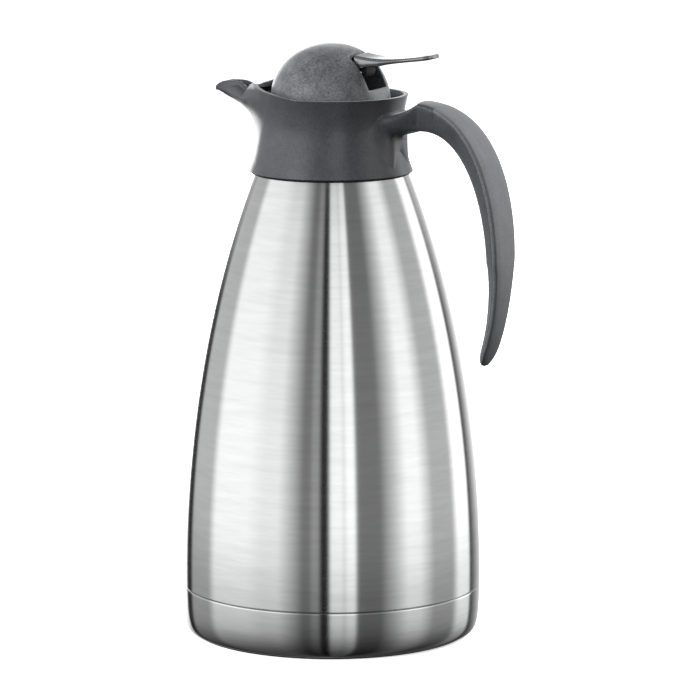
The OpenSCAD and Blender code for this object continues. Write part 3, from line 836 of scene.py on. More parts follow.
    def base(self, dresser: Dresser) -> bpy.types.Object:
        """Builds the base cup: a beaded top edge, a rounded heel and a recessed floor."""
        r, z = self.body_r, self.groove_z
        spigot = r - self.sheet - 0.05
        foot_in = self.foot_r - self.foot_w
        heel = curve([(self.foot_r + 0.4, 1.0), (r - 0.6, 1.2), (r - 0.2, 10), (r, z - 1.9)], 30)
        bead = curve([(r, z - 1.9), (r + 0.02, z - 1.1), (r - 0.05, z - 0.8), (r - 0.45, z - 0.8)], 8)
        outside = [(3.0, 8.2), (9.0, 8.2), (14.0, 5.6), (foot_in - 4, 5.0), (foot_in - 1.5, 1.6),
                   (foot_in, 1.6), (foot_in, 3.2), (self.foot_r, 3.2), (self.foot_r, 1.0)]
        inside = [(spigot, z - 0.8), (spigot, z + 8), (spigot - 1, z + 8), (spigot - 1, 14), (r - 2.8, 6),
                  (self.foot_r, 4.2), (foot_in - 1, 4.2), (foot_in - 3.4, 6.0), (14.6, 6.6), (9.6, 9.2),
                  (3.0, 9.2)]
        loop = eased(outside, 0.5, 3) + heel + bead[1:] + eased(inside, 0.4, 3)
        obj = new_piece("base_cup_steel", turned(loop, self.sides))
        return dresser.dress(obj, Slot.SHELL, "carafe", "base_cup")

    def foot(self, dresser: Dresser) -> bpy.types.Object:
        """Builds the rubber foot ring with two fine grooves in its tread; its near-black is partly its own
        rubber and partly painted shade for the dark contact line along the bottom.
        """
        low, high = self.foot_r - self.foot_w, self.foot_r
        loop = [(low, 3.2), (low, 0.7), (low + 0.7, 0.0)]
        for groove in (low + 3.2, low + 6.0):
            loop += [(groove - 0.5, 0.0), (groove - 0.3, 0.5), (groove + 0.3, 0.5), (groove + 0.5, 0.0)]
        loop += [(high - 0.7, 0.0), (high, 0.7), (high, 3.2)]
        obj = new_piece("foot_tread", turned(eased(loop, 0.3, 2), 192))
        # Near-black rubber: partly the ring's own colour, partly painted contact shade along the bottom edge.
        return dresser.dress(obj, Slot.RUBBER, "carafe", "foot_ring")

    def vessel(self, dresser: Dresser) -> bpy.types.Object:
        """Builds the inner vessel with its domed floor and rolled lip."""
        r, neck, floor = self.body_r - 7.5, self.neck_r - self.sheet, 15.5
        path = ([(0.0, floor + 3.5)]
                + curve([(4, floor + 3.5), (30, floor + 3.5), (46, floor), (56, floor)], 12)
                + curve([(56, floor), (64, floor), (r, 20), (r, 32)], 12)[1:]
                + curve([(r, 32), (r, 48), (r + 0.7, 138), (neck + 1.8, self.top_z - 3)], 60)[1:]
                + curve([(neck + 1.8, self.top_z - 3), (neck + 0.5, self.top_z + 0.5),
                         (neck, self.top_z + 3), (neck, self.top_z + 8)], 10)[1:]
                + [(neck, self.neck_top_z - 0.4)])
        lip = curve([(self.neck_r, self.neck_top_z), (self.neck_r + 0.02, self.neck_top_z + 1.5),
                     (neck - self.sheet - 0.02, self.neck_top_z + 1.5),
                     (neck - self.sheet, self.neck_top_z)], 12)
        inner = []
        for i in range(len(path) - 1, -1, -1):
            a, b = path[max(i - 1, 0)], path[min(i + 1, len(path) - 1)]
            size = distance(a, b)
            inner.append((max(0.0, path[i][0] - self.sheet * (b[1] - a[1]) / size),
                          path[i][1] + self.sheet * (b[0] - a[0]) / size))
        inner[-1] = (0.0, inner[-2][1])
        obj = new_piece("inner_bottle", turned(path + lip + inner[1:], 160, closed=False))
        return dresser.dress(obj, Slot.VESSEL, "carafe", "inner_vessel")


# ---- Collar ----

@dataclass
class Collar:
    """The moulded collar, a waisted ring drawn out to a pinched pouring beak."""

    waist_r: float = 36.2
    flare: float = 5.2
    rim_r: float = 38.85
    rim_z: float = 275.0
    reach: float = 63.5
    wall: float = 2.2
    lip_rise: float = 5.1
    beak_arch: float = 3.85
    arch_back: float = 10.0
    arch_ahead: float = 10.6
    arch_behind: float = 9.4
    lip_span: float = 86.0
    spout_span: float = 55.0
    shallow: float = 0.19
    narrow: float = 3.2
    blend: float = 2.4
    slit: float = 2.1
    hood_start: float = 0.7
    bowl_r: float = 34.6
    foot_z: float = 236.0
    seat_z: float = 248.8
    bore: float = 32.7
    sides: int = 288

    def radius(self, z: float) -> float:
        """The outer radius of the round part at a height."""
        low = self.flare * ((258 - z) / 22) ** 1.6 if z < 258 else 0.0
        high = self.rim_z - 16
        top = (self.rim_r - self.waist_r) * ((z - high) / 16) ** 1.5 if z > high else 0.0
        return self.waist_r + low + top

    def wide(self, r: float, reach: float, angle: float) -> float:
        """A circle with straight flanks to a rounded beak, as a radius at an angle."""
        if reach <= r + 1e-6:
            return r
        flank = math.degrees(math.acos(r / reach))
        turn = max(0.0, flank + 5.0 - math.hypot(angle, 5.0))
        return r / math.cos(math.radians(turn))

    def beak(self, r: float, reach: float, angle: float, pinch: float, half: float) -> float:
        """Finds the outline's radius at an angle from the spout.

        Args:
            r: radius of the round part.
            reach: how far the beak reaches.
            angle: degrees from the spout's middle.
            pinch: share of the pinched outline, whose beak is two near flanks.
            half: half the width between the pinched flanks.

        Returns:
            The radius.
        """
        wide = self.wide(r, reach, angle)
        if pinch <= 0 or reach <= r + 1e-6:
            return wide
        shallow = self.wide(r, r + self.shallow * (reach - r), angle)
        side = math.sin(math.radians(min(abs(angle), 90.0))) / half
        spike = 1.0 / (side ** self.narrow + (1.0 / reach) ** self.narrow) ** (1 / self.narrow)
        hollow = (shallow ** self.blend + spike ** self.blend) ** (1 / self.blend)
        return wide * (1 - pinch) + min(hollow, reach) * pinch

    @staticmethod
    def pinch(s: float, start: float, end: float) -> float:
        """How far the beak's flanks have closed over it at share s, from start to end."""
        t = min(1.0, max(0.0, (s - start) / (end - start)))
        return 1 - math.sqrt(1 - t * t)

    def lip(self, angle: float, r: float) -> float:
        """Finds how far the lip stands above the rim.

        Args:
            angle: degrees from the spout.
            r: distance from the axis; the beak's own lips arch up along it.

        Returns:
            The rise in millimetres.
        """
        a = abs(angle)
        past = r - self.reach + self.arch_back
        half = self.arch_ahead if past > 0 else self.arch_behind
        arch = self.beak_arch * max(0.0, 1 - (abs(past) / half) ** 3)
        if a >= self.lip_span:
            return arch
        side = 0.3 + 0.7 * eased_step((a - 2) / 24)
        rise = self.lip_rise * (1 - (a / self.lip_span) ** 1.8)
        return arch + rise * side * eased_step((45.4 - r) / 3.2)

    def point(self, level: Point, angle: float) -> Point:
        """Finds a point of the collar.

        Args:
            level: radius and height at the back, reach and height at the spout, share of the
                lip's rise, share of the pinch, and half width of the pinched beak.
            angle: degrees from the spout.

        Returns:
            The point.
        """
        r = self.beak(level[0], level[2], angle, level[5], level[6])
        near = abs(angle) < self.spout_span
        share = math.cos(math.radians(angle * 90 / self.spout_span)) ** 2 if near else 0.0
        z = level[1] + (level[3] - level[1]) * share + level[4] * self.lip(angle, r)
        return (-r * math.cos(math.radians(angle)), -r * math.sin(math.radians(angle)), z)

    def levels(self) -> Ring:
        """Lists the levels of the closed wall, up the outside and down the inside.

        Returns:
            The levels, with rounded rims.
        """
        def plain(r: float, z: float) -> Point:
            """A level with no beak."""
            return (r, z, r, z, 0.0, 0.0, 2.2)

        top = self.rim_z - 0.4
        line = [(self.radius(240), 240), (42.8, 243.8), (34.3, 272.6), (55.8, 267.0),
                (self.reach, 273.6)]
        outer: Ring = []
        for i in range(60):
            s = 1 - (1 - i / 60) ** 1.5
            z = 240 + (top - 240) * s
            x, spout_z = bezier(line, s)
            outer.append((self.radius(z), z, x, spout_z, s ** 8,
                          self.pinch(s, self.hood_start, 1.0), self.slit + 1.0))
        channel = [(self.reach - self.wall, self.rim_z + 0.7), (48, 270.5), (38, 269), (self.bowl_r, 259)]
        inner: Ring = []
        for i in range(1, 37):
            s = 1 - (i / 36) ** 1.5
            x, spout_z = bezier(channel, 1 - s)
            inner.append((self.bowl_r + (self.rim_r - self.wall - self.bowl_r) * s * s,
                          self.rim_z - 16 * (1 - s), x, spout_z, s ** 6, self.pinch(s, 0.5, 0.92),
                          self.slit))
        rim = [(self.rim_r, self.rim_z - 0.05, self.reach, self.rim_z + 0.65, 1.0, 1.0, self.slit + 1.0),
               (self.rim_r - self.wall + 0.1, self.rim_z, self.reach - self.wall, self.rim_z + 0.7,
                1.0, 1.0, self.slit)]
        foot = self.foot_z
        skirt = [plain(39.7, foot), plain(self.radius(foot), foot),
                 plain(self.radius(foot + 1.6), foot + 1.6)]
        ledge = [plain(self.bowl_r, self.seat_z), plain(self.bore, self.seat_z),
                 plain(self.bore, 246.5), plain(self.bore + 0.7, 245), plain(35.2, 242.8),
                 plain(38.2, 240), plain(39.6, foot + 0.6)]
        return (skirt[:1] + eased(skirt, 0.45, 4)[5:10] + [plain(self.radius(239), 239)] + outer
                + eased([outer[-1], rim[0], rim[1], inner[0]], 0.8, 5)[6:18] + inner + ledge)

    def build(self, dresser: Dresser) -> bpy.types.Object:
        """Builds the collar."""
        angles = []
        for i in range(self.sides):
            u = 2 * i / self.sides - 1
            angles.append(180 * u - 52 * math.sin(math.radians(180 * u)))
        rings = [[self.point(level, a) for a in angles] for level in self.levels()]
        obj = new_piece("collar", lofted(rings, closed=True), 50)
        return dresser.dress(obj, Slot.COLLAR, "carafe", "spout_collar")

    def seal(self, dresser: Dresser) -> bpy.types.Object:
        """Builds the dark seal that shows as a line under the collar; its near-black is partly its own rubber
        and partly painted shade under the collar's lip.
        """
        z = self.foot_z
        loop = [(39.2, z - 0.9), (40.1, z - 0.9), (40.6, z - 0.05), (39.0, z - 0.05)]
        obj = new_piece("collar_seal", turned(eased(loop, 0.15, 2), 192))
        # Near-black rubber: partly the seal's own colour, partly painted shade under the collar's lip.
        return dresser.dress(obj, Slot.RUBBER, "carafe", "collar_gasket")


# ---- Handle ----

@dataclass
class Handle:
    """The open hook handle: a grip that grows out of the collar, and its outer cover."""

    collar: Collar
    crest: Point = (51.0, 273.0)
    reach: float = 95.9
    reach_z: float = 194.8
    tip_z: float = 142.6
    cover: float = 2.4
    shoulder: float = 0.052
    root_x: float = 26.0

    def back(self, u: float) -> Point:
        """The middle line of the handle's back: 0 is the crest and 1 the tip."""
        far = (self.reach, self.reach_z)
        if u < 0.5:
            return bezier([self.crest, (self.crest[0] + 35, self.crest[1] - 2.7),
                           (self.reach, self.reach_z + 32.5), far], 2 * u)
        return bezier([far, (self.reach, self.reach_z - 4.5), (self.reach - 0.6, self.tip_z + 17.8),
                       (self.reach - 10.3, self.tip_z)], 2 * u - 1)

    def tip(self, u: float) -> float:
        """How much of the section is left where the tip is rounded."""
        start = 0.93
        return 1.0 if u <= start else math.sqrt(max(0.0, 1 - ((u - start) / (1.004 - start)) ** 2))

    def size(self, u: float) -> tuple[float, float, float]:
        """Half width, depth and cover thickness of the section at u."""
        w = bezier_value([8.8, 17.1, 14.4, 8.5, 9.1], u) * (0.25 + 0.75 * self.tip(u))
        d = bezier_value([14.6, 9.2, 8, 6.5, 4.2], u) * (0.55 + 0.45 * self.tip(u))
        return w, d, min(self.cover, 0.4 * d)

    def place(self, u: float, outline: Ring) -> Ring:
        """Sets an outline across the back line.

        Args:
            u: place along the handle.
            outline: (across, inwards) points.

        Returns:
            The points in space.
        """
        p = self.back(u)
        a, b = self.back(max(u - 0.004, 0.0)), self.back(min(u + 0.004, 1.0))
        size = distance(a, b)
        dx, dz = (b[0] - a[0]) / size, (b[1] - a[1]) / size
        return [(p[0] + n * dz, y, p[1] - n * dx) for y, n in outline]

    @staticmethod
    def whole(half: Ring) -> Ring:
        """A whole section from its half, from the middle of the inner side round."""
        return [half[-1]] + [(-y, n) for y, n in half[-2:0:-1]] + half[:-1]

    def full_half(self, u: float) -> Ring:
        """Half of the section where grip and cover are one."""
        w, d, c = self.size(u)
        e, f = min(1.0, 0.25 * w), min(1.1, 0.2 * d)
        return [(0, -0.5), (0.55 * w, -0.35), (w - e, 0.1), (w, 0.9), (w, c), (0.84 * w, 0.55 * d),
                (0.68 * w, d - f), (0.5 * w, d), (0, d)]

    def grip_half(self, u: float) -> Ring:
        """Half of the grip's section under the cover."""
        w, d, c = self.size(u)
        e, f = min(1.0, 0.25 * w), min(1.1, 0.2 * d)
        return [(0, c), (0.55 * w, c), (w - e, c), (w - 0.5 * e, c), (w - 0.3 * e, c + 0.1 * e),
                (0.84 * w, 0.55 * d + 0.1), (0.68 * w, d - f), (0.5 * w, d), (0, d)]

    def cover_loop(self, u: float) -> Ring:
        """The cover's whole section."""
        w, _, c = self.size(u)
        half = [(0, -0.5), (0.55 * w, -0.35), (w - min(1.0, 0.25 * w), 0.1), (w, 0.35 * c), (w, c - 0.05)]
        return [(-y, n) for y, n in half[:0:-1]] + half

    def stations(self, start: float, steps: int) -> list[float]:
        """Places along the handle, closer together towards the tip."""
        return [start + (1 - start) * (1 - (1 - i / steps) ** 1.25) for i in range(steps + 1)]

    def root_rings(self, steps: int) -> list[Ring]:
        """Lists the rings from the collar's surface out to the crest.

        Args:
            steps: how many rings after the first.

        Returns:
            The rings, which hug the collar underneath and rise late on top.
        """
        spread = [(0, 267.5), (8, 267.3), (13, 266.3), (15.5, 264.5), (16.5, 262), (16, 252),
                  (12.5, 243.5), (8.5, 239.5), (0, 248.5)]
        cap = self.whole(spread)
        end = self.place(0.0, self.whole(self.full_half(0.0)))

        def depth(y: float, z: float) -> float:
            """Where the collar's back lies at a height."""
            return math.sqrt(self.collar.radius(z) ** 2 - y * y)

        def ring(s: float) -> Ring:
            """The ring at share s of the way to the crest."""
            side, low = 1 - (1 - s) ** 1.8, 1 - (1 - s) ** 8
            points = []
            for (y1, z1), (x2, y2, z2) in zip(cap, end):
                t = (267.5 - z1) / 28
                y = y1 + (y2 - y1) * side
                z = z1 + (z2 - z1) * ((1 - t) * s * s + t * low)
                points.append((depth(y, z) + (x2 - depth(y2, z2)) * s, y, z))
            return points

        skirt = [(1.22 * y, z + 0.14 * (z - 256)) for y, z in cap]
        rings: list[Ring] = [[(self.root_x, y, z) for y, z in skirt]]
        edge = [(depth(y, z) - 0.4, y, z) for y, z in skirt]
        join = 0.2
        for i in range(9):
            rings.append([bezier(three, i / 9) for three in zip(edge, ring(0.0), ring(join))])
        return rings + [ring(join + (1 - join) * i / steps) for i in range(steps + 1)]

    def grip(self, dresser: Dresser) -> bpy.types.Object:
        """Builds the grip, trimmed where it grows out of the collar's wall."""
        rings = self.root_rings(26)
        rings += [self.place(u, self.whole(self.full_half(u)))
                  for u in [(self.shoulder - 0.002) * i / 8 for i in range(1, 9)]]
        rings += [self.place(u, self.whole(self.grip_half(u))) for u in self.stations(self.shoulder, 120)]
        obj = new_piece("handle_grip_moulding", lofted([eased(ring, 3.0, 4) for ring in rings]), 40)
        heights = [230 + 1.5 * i for i in range(31)]
        core = [(0.0, 230.0)] + [(self.collar.radius(z) - 0.9, z) for z in heights] + [(0.0, 275.0)]
        combined(obj, turned(core, 192, closed=False), "DIFFERENCE")
        finished_mesh(obj, 40)
        return dresser.dress(obj, Slot.COLLAR, "carafe", "handle_grip")

    def back_cover(self, dresser: Dresser) -> bpy.types.Object:
        """Builds the lighter cover along the handle's back."""
        rings = [eased(self.place(u, self.cover_loop(u)), 1.2, 4)
                 for u in self.stations(self.shoulder - 0.001, 140)]
        obj = new_piece("handle_back_cover", lofted(rings), 40)
        return dresser.dress(obj, Slot.HANDLE, "carafe", "handle_cover")


# ---- Stopper and dome ----

@dataclass
class Dome:
    """The fixed dome on the stopper, with the flat and the notch for the lever."""

    r: float = 30.5
    rise: float = 28.0
    centre_z: float = 272.5
    foot_z: float = 271.0
    wall: float = 2.0
    flat_x: float = 30.0
    flat_tilt: float = 25.9
    slot_half: float = 10.6
    slot_x: float = 14.5
    sill_z: float = 278.4
    soft: float = 2.0

    def solid(self, inset: float, soft: float, foot: float) -> Shell:
        """Builds the dome as a solid.

        Args:
            inset: how far inside the outer surface.
            soft: rounding between the round part and the flat.
            foot: height of its underside.

        Returns:
            The solid.
        """
        r, rise = self.r - inset, self.rise - inset
        profile = [(0.0, foot), (r - 0.4, foot), (r, foot + 0.4)]
        profile += [(r * math.cos(a), self.centre_z + rise * math.sin(a))
                    for a in (math.pi / 2 * i / 60 for i in range(60))]
        shell = turned(profile + [(0.0, self.centre_z + rise)], 240, closed=False)
        slope = math.tan(math.radians(self.flat_tilt))
        points = []
        for x, y, z in shell.points:
            flat = self.flat_x - inset - (z - self.centre_z) * slope
            gap = (x - flat) / soft
            x -= soft * (gap if gap > 30 else math.log1p(math.exp(max(gap, -30))))
            points.append((x, y, z))
        shell.points = points
        return shell

    def build(self, dresser: Dresser) -> bpy.types.Object:
        """Builds the dome: a shell with its notch, the lever's two ears and three bosses."""
        obj = new_piece("dome", self.solid(0.0, self.soft, self.foot_z))
        combined(obj, self.solid(self.wall, self.soft, self.foot_z - 2), "DIFFERENCE")
        for side in (-1, 1):
            low = min(side * self.slot_half, side * (self.slot_half + 2.4))
            ear = new_piece("ear", block((13, low, 276), (33, low + 2.4, 300), 0.6))
            combined(ear, self.solid(0.5, self.soft, self.foot_z), "INTERSECT")
            mesh = ear.data
            part = Shell([tuple(c / MM for c in v.co) for v in mesh.vertices],
                         [tuple(f.vertices) for f in mesh.polygons])
            combined(obj, part, "UNION")
            bpy.data.objects.remove(ear)
        for turn in SCREW_TURNS:
            a = math.radians(turn)
            boss = turned([(0.0, 273.25), (3.2, 273.25), (3.2, 288.0), (0.0, 288.0)], 32, closed=False)
            boss.points = [(x + SCREW_RING * math.cos(a), y + SCREW_RING * math.sin(a), z)
                           for x, y, z in boss.points]
            combined(obj, boss, "UNION")
        combined(obj, block((self.slot_x, -self.slot_half, self.sill_z), (40, self.slot_half, 310), 0.8),
                 "DIFFERENCE")
        softened(obj, 0.42, 4)
        return dresser.dress(obj, Slot.DOME, "stopper", "dome_cover")


@dataclass
class Stopper:
    """The screw-in stopper body, its screws, the lever's pin and the valve spring."""

    low_z: float = 240.0
    r: float = 30.4
    deck_z: float = 271.0
    flange_r: float = 34.1
    seat_r: float = 9.0
    thread_low: float = 248.0
    thread_rise: float = 8.4
    lead: float = 12.0
    ridge: float = 0.58
    curls: float = 7.0
    spring_r: float = 6.3
    wire_r: float = 0.6
    spring_low: float = 245.9
    spring_rise: float = 24.4

    def body(self, dresser: Dresser) -> bpy.types.Object:
        """Builds the stopper body with its gasket groove, flange and windows."""
        loop = [(self.seat_r, self.low_z), (self.r, self.low_z), (self.r, 243.0), (28.4, 243.0),
                (28.4, 246.4), (self.r, 246.4), (self.r, 258.0), (self.flange_r, 258.0),
                (self.flange_r, 263.5), (30.5, 264.1), (30.5, self.deck_z), (27.0, self.deck_z),
                (27.0, 258.0), (26.5, 257.0), (26.5, 242.0), (self.seat_r, 242.0)]
        obj = new_piece("stopper_moulding", turned(eased(loop, 0.45, 3), 192))
        cutters = Shell([], [])
        for i in range(6):
            a = math.radians(180 + 60 * i)
            cutter = block((22.5, -10, 264.3), (34.5, 10, 269.3), 1.2, axis=0)
            cutter.points = [(x * math.cos(a) - y * math.sin(a), x * math.sin(a) + y * math.cos(a), z)
                             for x, y, z in cutter.points]
            cutters.add(cutter)
        combined(obj, cutters, "DIFFERENCE")
        finished_mesh(obj, 35)
        return dresser.dress(obj, Slot.INNER, "stopper", "stopper_body")

    def thread(self, dresser: Dresser) -> bpy.types.Object:
        """Builds the stopper's two-start thread: twelve millimetres of rise to a turn."""
        tree, start, end = group_tree("thread", "GeometryNodeTree", {
            "Radius": ("NodeSocketFloat", 0.03), "Rise": ("NodeSocketFloat", 0.009),
            "Lead": ("NodeSocketFloat", 0.012), "Ridge": ("NodeSocketFloat", 0.0006),
            "Low": ("NodeSocketFloat", 0.24)}, {"Geometry": "NodeSocketGeometry"})
        read = start.outputs
        tube = tree.coil(tree.math("DIVIDE", read["Rise"], read["Lead"]), read["Radius"], read["Rise"],
                         read["Ridge"], 96, 10)
        lift = tree.add("ShaderNodeCombineXYZ", {2: read["Low"]})
        joined = tree.add("GeometryNodeJoinGeometry")
        for turn in (0.0, math.pi):
            moved = tree.add("GeometryNodeTransform", {"Geometry": tube,
                                                       "Translation": lift.outputs[0],
                                                       "Rotation": (0.0, 0.0, turn)})
            tree.tree.links.new(moved.outputs[0], joined.inputs[0])
        group = tree.finish(end, joined.outputs[0], dresser.materials[Slot.INNER])
        obj = grown("stopper_thread", group, {
            "Radius": (self.r - 0.2) * MM, "Rise": self.thread_rise * MM, "Lead": self.lead * MM,
            "Ridge": self.ridge * MM, "Low": self.thread_low * MM})
        finished_mesh(obj, 40)
        return dresser.dress(obj, Slot.INNER, "stopper")

    def screws(self, dresser: Dresser) -> bpy.types.Object:
        """Builds the three lid screws, each with a hexagon recess."""
        tree, start, end = group_tree("lid screws", "GeometryNodeTree", {
            "Count": ("NodeSocketInt", 3), "Ring Radius": ("NodeSocketFloat", 0.02),
            "Head Radius": ("NodeSocketFloat", 0.0026), "Shank Radius": ("NodeSocketFloat", 0.0014),
            "Deck": ("NodeSocketFloat", 0.27)}, {"Geometry": "NodeSocketGeometry"})
        read = start.outputs

        def drum(sides: int, radius: object, depth: float, middle: float) -> bpy.types.NodeSocket:
            """A round or six-sided drum at a height above the deck, in metres."""
            made = tree.add("GeometryNodeMeshCylinder", {"Vertices": sides, "Radius": radius, "Depth": depth})
            return tree.add("GeometryNodeTransform", {"Geometry": made.outputs["Mesh"],
                                                      "Translation": (0.0, 0.0, middle)}).outputs[0]

        screw = tree.add("GeometryNodeMeshBoolean", operation="UNION")
        tree.tree.links.new(drum(32, read["Head Radius"], 0.0016, -0.0008), screw.inputs[1])
        tree.tree.links.new(drum(24, read["Shank Radius"], 0.0102, 0.0049), screw.inputs[1])
        cut = tree.add("GeometryNodeMeshBoolean", operation="DIFFERENCE")
        tree.tree.links.new(screw.outputs[0], cut.inputs[0])
        tree.tree.links.new(drum(6, 0.0013, 0.0014, -0.0014), cut.inputs[1])
        ring = tree.add("GeometryNodeMeshCircle", {"Vertices": read["Count"], "Radius": read["Ring Radius"]})
        spin = tree.add("GeometryNodeTransform", {"Geometry": ring.outputs[0],
                                                  "Rotation": (0.0, 0.0, math.radians(SCREW_TURNS[0]))})
        spots = tree.add("GeometryNodeInstanceOnPoints", {"Points": spin.outputs[0],
                                                          "Instance": cut.outputs[0]})
        lift = tree.add("ShaderNodeCombineXYZ", {2: read["Deck"]})
        placed = tree.add("GeometryNodeTransform", {"Geometry": spots.outputs[0],
                                                    "Translation": lift.outputs[0]})
        group = tree.finish(end, placed.outputs[0], dresser.materials[Slot.BRIGHT], smooth=False)
        obj = grown("screws", group, {
            "Count": len(SCREW_TURNS), "Ring Radius": SCREW_RING * MM, "Head Radius": 2.6 * MM,
            "Shank Radius": 1.4 * MM, "Deck": self.deck_z * MM})
        finished_mesh(obj, 30)
        return dresser.dress(obj, Slot.BRIGHT, "stopper", "lid_screws")

    def pin(self, dresser: Dresser) -> bpy.types.Object:
        """Builds the lever's steel pin."""
        obj = new_piece("pivot_pin", rod(PIN, 1.2, 14.2, 0.35), 30)
        return dresser.dress(obj, Slot.BRIGHT, "stopper", "lever_pin")

    def spring(self, dresser: Dresser) -> bpy.types.Object:
        """Builds the valve spring, pressed between the disc and the deck."""
        tree, start, end = group_tree("valve spring", "GeometryNodeTree", {
            "Curls": ("NodeSocketFloat", 7.0), "Radius": ("NodeSocketFloat", 0.0063),
            "Wire": ("NodeSocketFloat", 0.0006), "Low": ("NodeSocketFloat", 0.24),
            "Rise": ("NodeSocketFloat", 0.02)}, {"Geometry": "NodeSocketGeometry"})
        read = start.outputs
        tube = tree.coil(read["Curls"], read["Radius"], read["Rise"], read["Wire"], 40, 14)
        lift = tree.add("ShaderNodeCombineXYZ", {2: read["Low"]})
        moved = tree.add("GeometryNodeTransform", {"Geometry": tube, "Translation": lift.outputs[0]})
        group = tree.finish(end, moved.outputs[0], dresser.materials[Slot.BRIGHT])
        obj = grown("spring", group, {
            "Curls": self.curls, "Radius": self.spring_r * MM, "Wire": self.wire_r * MM,
            "Low": self.spring_low * MM, "Rise": self.spring_rise * MM})
        finished_mesh(obj, 40)
        dresser.dress(obj, Slot.BRIGHT, "stopper", "valve_spring")
        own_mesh(obj)
        return obj


# ---- Lever ----

@dataclass
class Lever:
    """The thumb lever: a swept plate, a hub on the pin and a fork under the stem cap."""

    end_x: float = 58.0
    half: float = 9.2
    web: float = 5.5

    def top(self, t: float) -> Point:
        """The plate's upper line as (x, z)."""
        return bezier([(16.7, 295.8), (27, 293.3), (40, 293.9), (self.end_x - 2.5, 296.9)], t)

    def under(self, x: float) -> float:
        """The plate's lower line: the height at a distance from the axis."""
        line = curve([(self.end_x - 0.5, 294.8), (48, 293), (36, 292.4), (29.5, 290.4)], 24)
        return read_line([(16.0, 289.0), (21.0, 289.4)] + line[::-1], x)

    def width(self, x: float) -> float:
        """Half the plate's width at a distance from the axis."""
        edge = [(10.0, self.half)] + curve([(27, self.half), (38, self.half - 0.5), (40, 5.6), (53, 7.6)], 24)
        if x <= edge[-1][0]:
            return read_line(edge, x)
        share = min(1.0, (x - 53) / (self.end_x - 53.0))
        return 7.6 * math.sqrt(max(0.0, 1 - share ** 2.6)) + 0.2

    def plate(self) -> Shell:
        """Builds the thumb plate as a loft of rounded sections.

        Returns:
            The plate, with a shallow thumb hollow and a rounded end.
        """
        rings = []
        steps = 90
        for i in range(steps + 1):
            t = i / steps
            x, z_top = self.top(min(1.0, t * 1.03))
            if t * 1.03 > 1:
                x += (self.end_x - self.top(1.0)[0]) * math.sin(math.pi / 2 * (t * 1.03 - 1) / 0.03)
            low = self.under(x)
            w = self.width(x)
            end = max(0.0, (x - (self.end_x - 2.2)) / 2.2)
            z_top -= 0.9 * end ** 2
            low += 0.5 * end ** 2
            middle, tall = (z_top + low) / 2, max(0.35, (z_top - low) / 2)
            hollow = 0.35 * math.exp(-((x - 50) / 5) ** 2)
            soft = min(1.3, 0.7 * tall, 0.4 * w)
            loop = [(0, middle - tall), (w - soft, middle - tall), (w, middle - tall + soft),
                    (w, middle + tall - soft), (w - soft, middle + tall),
                    (0.5 * w, middle + tall - hollow), (0, middle + tall - 1.2 * hollow)]
            whole = loop + [(-y, z) for y, z in loop[-2:0:-1]]
            rings.append([(x, y, z) for y, z in eased(whole, 0.8, 4)])
        return lofted(rings)

    def build(self, dresser: Dresser) -> bpy.types.Object:
        """Builds the thumb plate, the lever's visible moulding."""
        obj = new_piece("thumb_lever_moulding", self.plate())
        softened(obj, 0.26, 3)
        return dresser.dress(obj, Slot.LEVER, "thumb_lever", "lever")

    def hub(self, dresser: Dresser) -> bpy.types.Object:
        """Builds the web under the plate, with the hub on the pin and the fork; its near-black finish is
        painted shade for the shaded slot it sits in.
        """
        web = [(18.2, 294.6), (22, 291.6), (22, 288), (PIN[0], PIN[2] - 3.2), (15, 284.6),
               (6, 280.4), (-1.5, 280), (-1.5, 282.6), (5.4, 283.4), (10, 288), (16, 290)]
        rings = [[(x, y, z) for x, z in eased(web, 0.8, 3)] for y in (-self.web, self.web)]
        obj = new_piece("lever_hub", lofted(rings, flat=True))
        combined(obj, rod(PIN, 3.2, self.web, 0.4), "UNION")
        combined(obj, rod((0.0, 0.0, 281.0), 3.0, self.web, 0.3), "UNION")
        combined(obj, block((-10, -3.0, 270), (4.5, 3.0, 286), 0.6, axis=0), "DIFFERENCE")
        combined(obj, rod(PIN, 1.27, 20, 0.1), "DIFFERENCE")
        softened(obj, 0.26, 3)
        # The near-black rubber finish here is painted shade: the web sits in the dome's shaded slot.
        return dresser.dress(obj, Slot.RUBBER, "thumb_lever")


# ---- Studio ----

@dataclass(frozen=True)
class Panel:
    """One upright panel or gap of the studio, seen from the bottle.

    Its place is in degrees round the bottle, from the camera's side towards its right.
    """

    name: str
    start: float
    level: float
    soft: float = 1.5


PANELS = [
    Panel("bright wall behind, left", -180.0, 1.9), Panel("dark stand", -151.0, 0.03),
    Panel("grey flat", -138.0, 0.52, 5.0), Panel("left softbox", -106.0, 1.1, 8.0),
    Panel("softbox falls off", -62.0, 0.96, 14.0), Panel("unlit corner", -32.0, 0.2, 20.0),
    Panel("faint glow", -15.5, 0.34, 3.0), Panel("lens side gap", -8.6, 0.01, 1.6),
    Panel("front light", -1.2, 1.1, 1.8), Panel("seam of the front light", 9.0, 0.85, 1.4),
    Panel("front light, second half", 12.6, 1.2, 1.4), Panel("dark drape", 19.4, 0.19, 2.0),
    Panel("right softbox starts", 45.0, 0.62, 12.0), Panel("right softbox", 57.0, 1.12, 10.0),
    Panel("softbox edge", 80.0, 0.5, 14.0), Panel("right wall", 113.0, 1.35, 8.0),
    Panel("dark door", 136.0, 0.02, 4.0), Panel("bright wall behind, right", 160.0, 1.5, 4.0),
]


